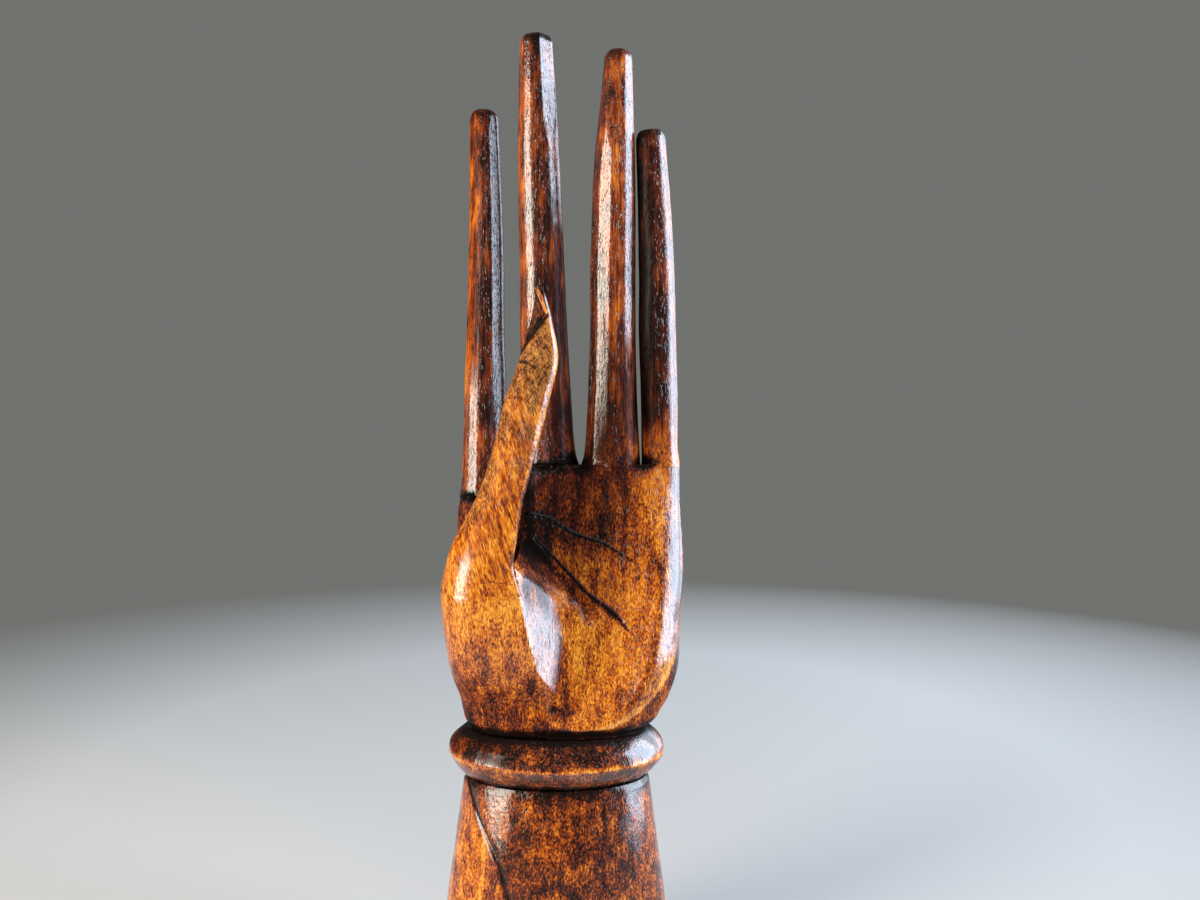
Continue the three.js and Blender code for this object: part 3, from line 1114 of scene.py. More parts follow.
@dataclass
class WristCollar(CarvedPiece):
    """The oval bead round the wrist, swept from its profile by a geometry tree."""

    node: str = "wrist_collar"
    finish: StainedWood = DARK
    oval: WristOval = field(default_factory=WristOval)
    z: float = 78.3
    height: float = 16.0
    crest_height: float = 7.6
    crest: float = 5.7
    crest_round: float = 0.45
    upper_bulge: float = 1.7
    lower_bulge: float = 0.6
    crest_tilt: float = -0.7
    wobble: float = 0.9
    bore: float = 9.3
    around: int = 420
    rows: int = 120
    blade: tuple[BladeMark, ...] = (BladeMark((5, 5, 3), 0.22, 31),)

    @property
    def sizes(self) -> dict[str, float]:
        """The bead's sizes by the names of the tree's inputs."""
        return {
            "Half Width": self.oval.half_width,
            "Half Depth": self.oval.half_depth,
            "Height": self.height,
            "Crest Height": self.crest_height,
            "Crest": self.crest,
            "Crest Round": self.crest_round,
            "Upper Bulge": self.upper_bulge,
            "Lower Bulge": self.lower_bulge,
            "Crest Tilt": self.crest_tilt,
            "Wobble": self.wobble,
            "Bore": self.bore,
        }

    def tree(self) -> ShapeTree:
        """Builds the tree that sweeps the bead.

        Returns:
            The geometry tree, with the bead's sizes as inputs.
        """
        tree = ShapeTree("oval_bead", tuple(self.sizes))
        get, calc = tree.inputs, tree.math
        grid, angle, share = tree.sheet(self.around, self.rows)
        c, s = calc("COSINE", angle), calc("SINE", angle)
        rise = tree.span(share, 0.10, 0.84, 0.0, 1.0)
        fall = tree.span(share, 0.94, 1.0, 0.0, 1.0)
        z = calc("MULTIPLY", get["Height"], calc("SUBTRACT", rise, fall))
        rim = calc("MINIMUM", tree.span(share, 0.0, 0.10, 0.0, 1.0), tree.span(share, 0.84, 0.94, 1.0, 0.0))
        wide, deep = calc("MULTIPLY", get["Half Width"], c), calc("MULTIPLY", get["Half Depth"], s)
        place = tree.add("ShaderNodeCombineXYZ", {"X": wide, "Y": deep, "Z": z}).outputs[0]
        rough = tree.add("ShaderNodeTexNoise", {"Vector": place, "Scale": 0.11, "Detail": 1.0}).outputs["Fac"]
        uneven = calc("MULTIPLY", calc("SUBTRACT", rough, 0.5), get["Wobble"])
        crest = calc("ADD", calc("MULTIPLY_ADD", get["Crest Tilt"], c, get["Crest Height"]), uneven)
        off = calc("SUBTRACT", z, crest)
        above = calc("GREATER_THAN", off, 0.0)
        reach = calc("MULTIPLY_ADD", above, calc("MULTIPLY_ADD", crest, -2.0, get["Height"]), crest)
        beside = calc("MULTIPLY", get["Upper Bulge"], calc("ABSOLUTE", c))
        gap = calc("SUBTRACT", beside, get["Lower Bulge"])
        bulge = calc("MULTIPLY_ADD", above, gap, get["Lower Bulge"])
        square = calc("MULTIPLY", get["Crest Round"], get["Crest Round"])

        def soft(distance: Any) -> Any:
            """A distance that starts gently."""
            long = calc("SQRT", calc("MULTIPLY_ADD", distance, distance, square))
            return calc("SUBTRACT", long, get["Crest Round"])

        full = calc("SUBTRACT", 1.0, calc("DIVIDE", soft(off), soft(reach)))
        lift = calc("MULTIPLY", bulge, calc("SINE", calc("MULTIPLY", full, math.pi)))
        swell = calc("MULTIPLY_ADD", get["Crest"], full, lift)

        def wrap(half: Any, turn: Any) -> Any:
            """From the bore out to the bead."""
            inner, outer = (calc("MULTIPLY", r, turn) for r in (get["Bore"], calc("ADD", half, swell)))
            return calc("MULTIPLY_ADD", rim, calc("SUBTRACT", outer, inner), inner)

        tree.close(grid, wrap(get["Half Width"], c), wrap(get["Half Depth"], s), z)
        return tree

    def build(self) -> Piece:
        """Runs the tree.

        Returns:
            The bead.
        """
        place = {"Place": (0.0, 0.0, self.z * MM), "Finish": self.material}
        return self.tree().run("wrist_collar_bead", {**self.sizes, **place})

    def carve(self, surface: Surface) -> None:
        """Leaves blade marks on both slopes.

        Args:
            surface: Its surface.
        """
        x, y, _ = surface.points.T
        outer = ramp(np.hypot(x / self.oval.half_width, y / self.oval.half_depth), 0.8, 0.97)
        surface.plane(self.blade, outer)

    def stain(self, surface: Surface) -> Stains:
        """Rubbed bright on the crest, black in the grooves, with painted shade on its upper slope and painted
        light on its lower slope's left.

        Args:
            surface: Its surface.

        Returns:
            Each stain's strength at each point.
        """
        points, normals = surface.points, surface.normals
        z = points[:, 2] - self.z
        left = ramp(-normals[:, 0], 0.0, 0.8)
        upper = ramp(normals[:, 2], 0.1, 0.4)
        lower = ramp(-normals[:, 2], 0.1, 0.4)
        # Painted shade on the upper slope, which faces up, and painted light on the lower slope's left, which
        # faces the key lamp; the rest of the lower slope is a little darker.
        tone = 0.42 - 0.20 * upper + lower * (0.14 * left - 0.04)
        tone += 0.08 * lattice_noise(points, (7, 7, 4), 41)
        ends = np.maximum(ramp(z, self.height - 2.2, self.height - 0.3), ramp(1.8 - z, 0, 1.6))
        dirt = ends * (0.7 + 0.3 * lattice_noise(points, (3, 3, 2), 42))
        crest = bell(z - self.crest_height, 0.9)
        wear = crest * (0.8 + 0.5 * lattice_noise(points, (5, 5, 5), 43))
        matte = 0.85 * upper * ramp(-normals[:, 0], -0.1, 0.25)
        return stains(tone + 0.12 * crest, dirt, wear, matte)


@dataclass(frozen=True)
class FingerShape:
    """One finger: its length, its width at four heights, and how it leans or lies by its neighbour."""

    name: str
    length: float
    widths: Quad
    leans: Quad | None = None
    ring_gaps: Quad | None = None


@dataclass(frozen=True)
class FingerRow:
    """The four fingers side by side, from the index finger's outer side."""

    left: float = -33.5
    y: float = 1.5
    index_gap: float = 5.5
    ring_gap: float = 3.3
    clearance: float = 0.5
    low: float = 0.26
    high: float = 0.68
    tip_round: float = 5.0
    index: FingerShape = FingerShape("index", 136.8, (15.9, 14.6, 12, 10.2), leans=(0, 0.4, 0.4, -0.5))
    middle: FingerShape = FingerShape("middle", 153.1, (18.6, 16.8, 15, 12), leans=(0, -1.5, -3.5, -4.8))
    ring: FingerShape = FingerShape("ring", 147.2, (19.4, 16.6, 15.1, 10.4), leans=(0, 0.1, 0.7, 2.1))
    little: FingerShape = FingerShape("little", 118.8, (12.8, 13, 12.4, 10.6), ring_gaps=(0.8, 1.2, 0.8, 0.6))

    def root(self, shape: FingerShape) -> float:
        """The x of a finger's root.

        Args:
            shape: One of the row's fingers.

        Returns:
            The root's middle, in millimetres.
        """
        order = (self.index, self.middle, self.ring, self.little)
        gaps = (0.0, self.index_gap, self.ring_gap, self.little.ring_gaps[0])
        x = self.left
        for each, gap in zip(order, gaps):
            x += gap + each.widths[0] / 2
            if each.name == shape.name:
                break
            x += each.widths[0] / 2
        return x

    def line(self, shape: FingerShape, heights: Array) -> tuple[Array, Array]:
        """A finger's middle line and half width.

        Args:
            shape: One of the row's fingers.
            heights: Heights over its seat.

        Returns:
            The x of its middle and its half width at each height.
        """
        shares = np.array([0, self.low, self.high, 1 - self.tip_round / shape.length])
        places = shares * shape.length
        halves = np.array(shape.widths) / 2
        if shape.leans is not None:
            middles = self.root(shape) + np.array(shape.leans)
        else:
            beside, half = self.line(self.ring, places)
            middles = beside + half + np.array(shape.ring_gaps) + halves
        return between(places, middles, heights), between(places, halves, heights)


@dataclass(frozen=True)
class Facet:
    """A flat that the knife left along a finger."""

    angle: float
    depth: float
    start: float
    end: float


@dataclass(frozen=True)
class FingerCut:
    """How one finger is planed, stained across with painted light and shade, spread at its root, dulled on
    its left and low right, and darkened low down as painted shade.
    """

    flats: tuple[Facet, ...]
    tones_and_shade: Triple
    flare: Pair
    dull: Pair = (2.0, 3.0)
    lee: Pair = (-2.0, -1.0)


# Each finger's tones run left, middle, right: partly stain, partly painted light and shade; the little
# finger's left is painted black as the ring finger's shadow.
FINGER_CUTS: dict[str, FingerCut] = {
    "index": FingerCut(
        (Facet(-52, 0.28, 0.22, 0.95), Facet(-116, 0.16, -0.1, 0.4)),
        (0.52, 0.30, 0.10),
        (0.7, 0.8),
        dull=(0.22, 0.36),
    ),
    "middle": FingerCut(
        (Facet(-48, 0.8, 0.77, 1.1), Facet(-48, 0.06, 0.45, 0.82), Facet(-116, 0.08, 0.1, 1.1)),
        (0.54, 0.32, 0.36),
        (0.8, 1.3),
        lee=(0.48, 0.68),
    ),
    "ring": FingerCut(
        (Facet(-49, 0.14, 0.05, 1.1), Facet(-116, 0.5, -0.1, 0.75), Facet(-146, 0.45, -0.1, 0.8)),
        (0.34, 0.50, 0.38),
        (1.2, 0.25),
        lee=(0.22, 0.36),
    ),
    "little": FingerCut(
        (Facet(-35, 0.2, 0.1, 1.1),),
        (0.04, 0.22, 0.42),
        (0.25, 0.5),
        dull=(-0.2, 0.0),
    ),
}


@dataclass
class Finger(CarvedPiece):
    """One long finger on its seat."""

    shape: FingerShape
    row: FingerRow
    seat: float
    cut: FingerCut
    palm: Palm
    seed: int
    finish: StainedWood = RUSSET
    depth_share: float = 0.92
    back_sweep: float = 5.0
    tip_bluntness: float = 3.0
    tip_flat: float = 0.3
    squareness: float = 2.1
    dowel_radius: float = 2.5
    dowel_bite: float = 13.0
    bore_clear: float = 3.6
    bore_top: float = 16.0
    nail_length: float = 12.0
    nail_share: float = 0.74
    nail_margin: float = 2.6
    nail_squareness: float = 2.6
    scribe: float = 1.2
    flat_fade: float = 0.05
    root_flare: float = 1.7
    flare_height: float = 4.5
    side_height: float = 3.0
    around: int = 104
    steps: int = 250
    dome_rows: int = 25
    cap_rows: int = 5
    blade: tuple[BladeMark, ...] = (BladeMark((6, 6, 21), 0.24, 0), BladeMark((2.2, 2.2, 6), 0.06, 1))

    @property
    def node(self) -> str:
        """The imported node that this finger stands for."""
        return f"{self.shape.name}_finger"

    @property
    def foot(self) -> float:
        """The height of its root."""
        return self.seat + GLUE_LINE

    def planed(self, rings: Array, middle: Array, share: Array) -> Array:
        """Planes the finger's flats.

        Args:
            rings: Its outlines.
            middle: Each outline's middle.
            share: How far up the finger each outline lies.

        Returns:
            The outlines with flats.
        """
        fade = self.flat_fade
        for facet in self.cut.flats:
            way = np.array([math.cos(math.radians(facet.angle)), math.sin(math.radians(facet.angle))])
            strength = ramp(share, facet.start - fade, facet.start + fade)
            strength *= 1 - ramp(share, facet.end - fade, facet.end + fade)
            out = (rings - middle[:, None, :]) @ way
            over = np.maximum(out - (out.max(1) - facet.depth)[:, None], 0) * strength[:, None]
            rings = rings - over[..., None] * way
        return rings

    def flared(self, rings: Array, middle: Array, half: Array, levels: Array) -> Array:
        """Spreads the finger's root over its seat.

        Args:
            rings: Its outlines.
            middle: Each outline's middle.
            half: Each outline's half width.
            levels: Each outline's height over the seat.

        Returns:
            The outlines with a wider root.
        """
        rise = np.maximum(levels, 0)[:, None]
        forward = ramp((middle[:, None, 1] - rings[..., 1]) / half[:, None], 0.1, 0.8)
        across = (rings[..., 0] - middle[:, None, 0]) / half[:, None]
        left, right = self.cut.flare
        beside = right * ramp(across, 0.2, 1.0) - left * ramp(-across, 0.2, 1.0)
        x = rings[..., 0] + beside * np.exp(-rise / self.side_height)
        y = rings[..., 1] - forward * self.root_flare * np.exp(-rise / self.flare_height)
        return np.stack([x, y], axis=2)

    def build(self) -> Piece:
        """Lofts the finger, planes its flats, scribes it to its seat and bores its root.

        Returns:
            The finger.
        """
        length, row, cap = self.shape.length, self.row, self.cap_rows
        neck = length - row.tip_round
        dome = neck + row.tip_round * np.sin(np.linspace(0, np.pi / 2, self.dome_rows + 1))[1:]
        levels = np.concatenate([np.linspace(-self.scribe, neck, self.steps), dome, np.full(cap, length)])
        share = np.clip((levels - neck) / row.tip_round, 0, 1)
        blunt = np.maximum((1 - share**self.tip_bluntness) ** (1 / self.tip_bluntness), self.tip_flat)
        blunt[-cap:] = np.linspace(0.8, 0.08, cap) * self.tip_flat
        x, half = row.line(self.shape, levels)
        middle = np.stack([x, row.y + self.back_sweep * (levels / length) ** 2], axis=1)
        deep = half * self.depth_share
        rings = rounded(middle, half, deep, deep, self.squareness, self.around)
        rings = self.planed(rings, middle, levels / length)
        rings = middle[:, None, :] + (rings - middle[:, None, :]) * blunt[:, None, None]
        rings = self.flared(rings, middle, half, levels)
        levels[-cap:] += np.linspace(0.05, 0.3, cap)
        piece = loft(levels, rings).raised(self.foot).piece(f"{self.shape.name}_finger_carving")
        shape_with(piece, self.palm.piece, Cut.REMOVE)
        top = self.foot + self.dowel_bite + DOWEL_FIT
        socket = bore(self.dowel_radius, self.seat - 2, top, row.root(self.shape), row.y)
        shape_with(piece, socket, Cut.REMOVE)
        return piece

    def height(self, surface: Surface) -> Array:
        """Heights over the finger's seat."""
        return surface.points[:, 2] - self.foot

    def nail(self, surface: Surface) -> tuple[Array, Array]:
        """Where the nail on the finger's back lies.

        Args:
            surface: The finger's surface.

        Returns:
            How far inside the nail's outline each point is, and the share of it that faces back.
        """
        z = self.height(surface)
        x, half = self.row.line(self.shape, z)
        across = (surface.points[:, 0] - x) / (half * self.nail_share)
        middle = self.shape.length - self.nail_margin - self.nail_length / 2
        up = (z - middle) / (self.nail_length / 2)
        p = self.nail_squareness
        inside = (1 - (np.abs(across) ** p + np.abs(up) ** p) ** (1 / p)) * half * self.nail_share
        return inside, ramp(surface.normals[:, 1], 0.05, 0.35)

    def carve(self, surface: Surface) -> None:
        """Leaves blade marks, a ragged root, a chipped tip and a nail on the back.

        Args:
            surface: Its surface.
        """
        points, z = surface.points, self.height(surface)
        x, _ = self.row.line(self.shape, z)
        outer = np.hypot(points[:, 0] - x, points[:, 1] - self.row.y) > self.bore_clear
        skin = (outer | (z > self.bore_top)).astype(float)
        body = ramp(z, 1.0, 6.0)
        surface.plane(self.blade, skin * body, self.seed)
        ragged = 0.7 + 0.6 * lattice_noise(points, (1.6, 1.6, 1.3), self.seed + 2)
        pocket = patches(points, ROOT_POCKETS) * ramp(-points[:, 1], -2, 2)
        surface.push(-skin * ragged * pocket)
        tip = ramp(z, self.shape.length - 3.5, self.shape.length - 0.5)
        surface.push(-tip * 0.25 * lattice_noise(points, (2.4, 2.4, 2.0), self.seed + 3))
        inside, back = self.nail(surface)
        groove = bell(inside, 0.45)
        surface.push(back * (-0.42 * groove + 0.12 * ramp(inside, 0.3, 1.2)))
        surface.soften(1, body)

    def stain(self, surface: Surface) -> Stains:
        """Amber along its left and darker on its right, partly as painted light and shade, black at its root
        and end grain, with painted shade in its hollows.

        Args:
            surface: Its surface.

        Returns:
            Each stain's strength at each point.
        """
        points, z, length = surface.points, self.height(surface), self.shape.length
        ragged = lattice_noise(points, (1.8, 1.8, 3.0), self.seed + 5)
        x, half = self.row.line(self.shape, z)
        across = (points[:, 0] - x) / (half + 0.01)
        # The tones across each finger are partly its stain and partly painted light and shade: the index and
        # middle fingers are lighter on the left, which faces the key lamp, and darker on the right.
        tone = np.interp(across, (-0.8, 0.15, 0.8), self.cut.tones_and_shade)
        tone += 0.09 * lattice_noise(points, (4, 4, 38), self.seed + 6)
        tone -= 0.22 * ramp(z + 2.0 * ragged, length - 7, length - 1)
        dirt = pocket_dirt(points, ragged, self.seed + 7) * ramp(-points[:, 1], -2, 2)
        dirt += 0.5 * (1 - ramp(z + ragged, 0.5, 3.0)) * ramp(points[:, 1], 0, 4)
        bend = surface.hollowness(2)
        inside, back = self.nail(surface)
        # Painted shade in the hollows, by curvature; the nail's groove is darkened too.
        dirt += back * 0.7 * bell(inside, 0.5) + 0.8 * ramp(bend, 0.15, 0.7) * ramp(z, 0.8, 3.0)
        # Painted shade: the low middle and ring fingers are darker where the next finger would block the
        # window's light.
        lee = 1 - ramp(z / length + 0.05 * ragged, *self.cut.lee)
        tone -= 0.1 * lee
        matte = 0.95 * ramp(-across, -0.1, 0.4) * ramp(z / length, *self.cut.dull)
        matte = np.maximum(matte, 0.95 * lee * ramp(across, 0.0, 0.4))
        wear = ramp(-bend, 0.42, 1.3) * ramp(z, 6, 12)
        root = 1 - ramp(z + 4 * ragged, 2, 22)
        # Near its root the finger takes the palm's front tone, painted shade included.
        tone += root * (self.palm.front_tone(points) - tone)
        return {**stains(tone, dirt, wear, matte), Stain.GRAIN: 1 - 0.8 * root}


@dataclass(frozen=True)
class Crease:
    """A line of the hand, cut with a knife: its corners, its width at each, its depth and its nicks."""

    line: Line
    widths: tuple[float, ...]
    depth: float
    nicks: float

    def measure(self, x: Array, z: Array) -> tuple[Array, Array, Array]:
        """Measures points against the cut.

        Args:
            x: The points' x.
            z: The points' z.

        Returns:
            Each point's distance from the line, how far along it that is, and the cut's width there.
        """
        distance, run = along_line(x, z, self.line)
        steps = [math.dist(a, b) for a, b in itertools.pairwise(self.line)]
        return distance, run, np.interp(run, [0, *itertools.accumulate(steps)], self.widths)


@dataclass
class Thumb(CarvedPiece):
    """The free-standing thumb with its crisp ridge and sunken nail."""

    node: str = "thumb"
    finish: StainedWood = AMBER
    palm_z: float = 94.6
    seat: float = 49.4
    length: float = 98.6
    ridge_flat: tuple[float, ...] = (1, 1, 1, 1, 1, 1.4, 2.0, 3.0, 4.0, 3.4, 2.0, 0.9, 0.4)
    scribe: float = 0.8
    dowel_radius: float = 3.0
    dowel_bite: float = 11.0
    dowel_inset: float = 2.0
    web_gap: float = 0.9
    web_fall: float = 1.08
    web_plunge: float = 3.5
    web_fold: Line = ((6.1, 37), (5.2, 42), (3.0, 46), (-0.3, 50), (-7.2, 56), (-13.5, 60))
    face_points: int = 84
    ridge_points: int = 7
    back_points: int = 96
    rows: int = 250
    ball_rows: int = 110
    palm: Palm | None = None
    facing: Pair = (-0.2, 0.3)
    nail_from: float = 70.0
    second_cut: float = 1.2
    blade: tuple[BladeMark, ...] = (BladeMark((7, 7, 12), 0.16, 61), BladeMark((2.0, 2.0, 3.0), 0.06, 62))
    groove: Line = ((-10.5, 220.6), (-0.3, 234.4))
    nail_edge: Line = ((-6.0, 242.6), (-2.4, 234.4))
    checks: tuple[Crease, ...] = (
        Crease(((-11.0, 218.3), (-7.4, 217.5), (-5.4, 215.8)), (0.4, 0.36, 0.3), 0.8, 0.0),
        Crease(((-25.0, 147.2), (-19.0, 147.9), (-11.5, 147.0)), (0.08, 0.2, 0.12), 0.4, 0.0),
        Crease(((-21.5, 145.5), (-17.5, 145.9), (-13.5, 145.6)), (0.08, 0.18, 0.08), 0.35, 0.0),
    )

    at: tuple[float, ...] = (
        -0.96, -0.74, -0.48, -0.06, 0.08, 0.172, 0.304, 0.467, 0.629, 0.757, 0.887, 0.96, 1
    )
    left_x: tuple[float, ...] = (
        -27, -32.8, -36.2, -38.4, -36.4, -32.6, -25.2, -19.4, -15.2, -10.8, -7.1, -5.8, -4.9
    )
    left_y: tuple[float, ...] = (-6, -7, -8.5, -10.5, -13, -17, -22, -25, -26.5, -27, -26.5, -26, -25.6)
    ridge_x: tuple[float, ...] = (-3, -2, -5.7, -9.8, -12.4, -11, -8.3, -3.4, 1.2, 3.6, 1, -1.7, -3.5)
    ridge_y: tuple[float, ...] = (
        -13, -21, -25.5, -28.5, -29.5, -30.5, -31.5, -32.3, -32.8, -32, -29.5, -27.6, -26.2
    )
    edge: tuple[float, ...] = (6.3, 14.6, 21.0, 20.5, 16.4, 13.2, 9.5, 7.2, 6.2, 4.8, 2.8, 1.4, 0.5)
    face: tuple[float, ...] = (4, 5.5, 6, 5.5, 4.6, 3.6, 2.4, 1.6, 1.3, 1.1, 0.8, 0.5, 0.3)
    back: tuple[float, ...] = (16, 24, 27, 27, 22, 13, 11, 10, 9, 7.5, 4.5, 2.4, 0.8)
    flank: tuple[float, ...] = (8, 12, 14, 12, 3, -3, -4, -4, -4, -3, -1.5, -0.6, 0)

    @property
    def places(self) -> Array:
        """Heights of the given sections over the palm's base."""
        shares = np.array(self.at)
        return self.seat + shares * np.where(shares < 0, self.seat, self.length)

    def read(self, values: Sequence[float], heights: Array) -> Array:
        """One measure of the sections at heights over the palm's base."""
        return between(self.places, values, heights)

    def rings(self, heights: Array) -> Array:
        """Sections from the left side over the face to the ridge and round the back.

        Args:
            heights: Heights over the palm's base.

        Returns:
            Outlines as levels by points by xy.
        """
        left = np.stack([self.read(self.left_x, heights), self.read(self.left_y, heights)], 1)
        ridge = np.stack([self.read(self.ridge_x, heights), self.read(self.ridge_y, heights)], 1)
        edge, face, back, flank = (
            self.read(v, heights)[:, None] for v in (self.edge, self.face, self.back, self.flank)
        )
        chord = ridge - left
        width = np.linalg.norm(chord, axis=1, keepdims=True)
        bulge = np.stack([chord[:, 1], -chord[:, 0]], 1) / width * face
        down, up = np.array([[0.0, -1.0]]), np.array([[0.0, 1.0]])
        front = (left, left + down * edge, ridge - chord / 3 + bulge, ridge)
        rear = (ridge, ridge + np.hstack([flank, back]), left + up * back, left)
        flat = np.minimum(self.read(self.ridge_flat, heights)[:, None], 0.3 * width)
        stop = 1 - np.clip(flat / (3 * np.linalg.norm(front[3] - front[2], axis=1, keepdims=True)), 0, 0.2)
        start = np.clip(flat / (3 * np.linalg.norm(rear[1] - rear[0], axis=1, keepdims=True)), 0, 0.2)

        def bend(points: Sequence[Array], t: Array) -> Array:
            """Points of a cubic curve at shares of its run."""
            a, b, c, d = (p[:, None, :] for p in points)
            return a * (1 - t) ** 3 + 3 * b * t * (1 - t) ** 2 + 3 * c * t**2 * (1 - t) + d * t**3

        around = np.linspace(0, 1, self.back_points, endpoint=False)
        forth = bend(front, (stop * np.linspace(0, 1, self.face_points))[..., None])
        round_back = bend(rear, (start + (1 - start) * around)[..., None])
        turn = np.linspace(0, 1, self.ridge_points + 2)[1:-1][None, :, None]
        ends = forth[:, -1:, :], round_back[:, :1, :]
        corner = 0.8 * (ends[0] + ends[1]) / 2 + 0.2 * ridge[:, None, :]
        over = ends[0] * (1 - turn) ** 2 + 2 * corner * turn * (1 - turn) + ends[1] * turn**2
        return np.concatenate([forth, over, round_back], axis=1)

    def ball(self) -> Skin:
        """The ball of the thumb below its seat, in the palm's frame."""
        levels = np.linspace(self.places[0], self.seat, self.ball_rows)
        return loft(levels, self.rings(levels))

    def dowel_place(self) -> Pair:
        """Works out where the thumb's dowel crosses its seat.

        Returns:
            The x and y of the dowel's middle.
        """
        at = np.array([self.seat])
        x = (self.read(self.left_x, at) + self.read(self.ridge_x, at)) / 2
        y = (self.read(self.left_y, at) + self.read(self.ridge_y, at)) / 2
        return float(x[0]), float(y[0]) + self.dowel_inset

    def build(self) -> Piece:
        """Lofts the thumb, scribes it to the palm and bores its foot.

        Returns:
            The thumb.
        """
        foot = self.seat - self.scribe
        levels = np.linspace(foot, self.seat + self.length, self.rows)
        piece = loft(levels, self.rings(levels)).raised(self.palm_z).piece("thumb_carving")
        shape_with(piece, self.palm.piece, Cut.REMOVE)
        x, y = self.dowel_place()
        hole = bore(self.dowel_radius, foot - 1, self.seat + GLUE_LINE + self.dowel_bite + DOWEL_FIT, x, y)
        shape_with(piece, hole.raised(self.palm_z), Cut.REMOVE)
        return piece

    def height(self, surface: Surface) -> Array:
        """Heights over the thumb's seat."""
        return surface.points[:, 2] - self.palm_z - self.seat

    def tip(self, surface: Surface) -> tuple[Array, Array]:
        """Measures points against the nail's groove and its far edge.

        Args:
            surface: The thumb's surface.

        Returns:
            Distances beyond the groove, towards the tip, and inside the nail's edge.
        """
        x, _, z = surface.points.T
        found = []
        for (x0, z0), (x1, z1) in (self.groove, self.nail_edge):
            length = math.hypot(x1 - x0, z1 - z0)
            found.append(((z - z0) * (x1 - x0) - (x - x0) * (z1 - z0)) / length)
        return found[0], -found[1]

    def splits(self, points: Array) -> Array:
        """Measures how open the checks in the wood are.

        Args:
            points: Points in millimetres.

        Returns:
            A check's depth on its line, and zero beside it.
        """
        open_by = np.zeros(len(points))
        for check in self.checks:
            distance, _, width = check.measure(points[:, 0], points[:, 2])
            open_by += check.depth * bell(distance, width)
        return open_by

    def carve(self, surface: Surface) -> None:
        """Sinks the nail, cuts its groove and leaves blade marks.

        Args:
            surface: Its surface.
        """
        z = self.height(surface)
        surface.plane(self.blade, ramp(z, 0.8, 5.0))
        beyond, inside = self.tip(surface)
        front = surface.front(*self.facing) * (z > self.nail_from)
        sunk = ramp(beyond, 0.0, 0.5) * ramp(inside, 0.0, 0.5)
        cut = bell(beyond, 0.4) + 0.5 * bell(beyond - self.second_cut, 0.3)
        surface.push(-front * (0.45 * sunk + 0.5 * cut * ramp(inside, -1.0, 0.0)))
        surface.push(-0.3 * surface.front(*self.facing) * self.splits(surface.points))

    def stain(self, surface: Surface) -> Stains:
        """Bright amber, with a dark nail, checks at its root and a rubbed ridge; its scuffed wood is greyed
        as a painted sheen and its hollows hold painted shade.

        Args:
            surface: Its surface.

        Returns:
            Each stain's strength at each point.
        """
        points = surface.points
        z = self.height(surface)
        beyond, inside = self.tip(surface)
        front = surface.front(*self.facing) * (z > self.nail_from)
        nail = front * ramp(beyond, 0.0, 0.4) * ramp(inside, 0.0, 0.4)
        cut = front * bell(beyond, 0.5) * ramp(inside, -1.0, 0.0)
        cut += 0.7 * front * bell(beyond - self.second_cut, 0.3) * ramp(inside, 0.0, 1.0)
        cut += surface.front(*self.facing) * self.splits(points)
        behind = ramp(surface.normals[:, 1], -0.1, 0.5)
        ridge = self.read(self.ridge_x, points[:, 2] - self.palm_z)
        web = ramp(points[:, 0] - ridge, -0.6, 0.8) * (z < 16)
        across = ridge - points[:, 0]
        inner = ramp(across + lattice_noise(points, (2, 2, 4), 72), 2.0, 4.0)
        patchy = lattice_noise(points, (3, 3, 5), 73)
        # Scuffed wood on the upper face and the left margin; the scuffed colours paint a grey-gold sheen on
        # it.
        scuffed_and_sheen = ramp(z + 12 * patchy, 38, 68) * inner
        left = self.read(self.left_x, points[:, 2] - self.palm_z)
        margin = ramp(left + 6 - points[:, 0] + 2 * patchy, 0, 5) * ramp(z, 16, 26)
        scuffed_and_sheen = np.maximum(scuffed_and_sheen, 0.8 * margin) * (0.85 + 0.5 * patchy)
        apex = front * ramp(beyond, 0.0, 0.4) - nail
        scuffed_and_sheen = np.clip(scuffed_and_sheen * (1 - 0.6 * nail - apex), 0, 1) * surface.front(0.0, 0.4)
        tone = 0.74 + 0.07 * lattice_noise(points, (6, 6, 14), 71)
        near = 1 - ramp(z, 0, 14)
        # Near its foot the thumb takes the palm's front tone, painted shade included.
        tone += near * (self.palm.front_tone(points) + self.palm.ball_tone - tone)
        bevel = ramp(1.7 - across, 0.0, 0.6) * ramp(z, 16, 36)
        tone -= 0.45 * nail + 0.2 * behind + 0.36 * web + 0.12 * scuffed_and_sheen + 0.5 * bevel
        matte = 0.95 * ramp(z, 6, 16) * ramp(left + 0.55 * (ridge - left) - points[:, 0], 0.0, 3.0)
        matte = np.maximum(matte, 0.95 * nail)
        bend = surface.hollowness(2)
        # Painted shade in the hollows, by curvature, with the nail's cuts and the checks.
        dirt = cut + 0.8 * ramp(bend, 0.2, 0.9) * ramp(z, 1.5, 4.0)
        dirt += 0.2 * (1 - ramp(z, 0.2, 0.9)) * (0.6 + lattice_noise(points, (3, 3, 3), 74))
        wear = ramp(-bend, 0.3, 1.1) * ramp(z, 1.5, 4.0) * (1 - bevel)
        return {**stains(tone, dirt, wear, matte), Stain.SCUFF_AND_SHEEN: scuffed_and_sheen}


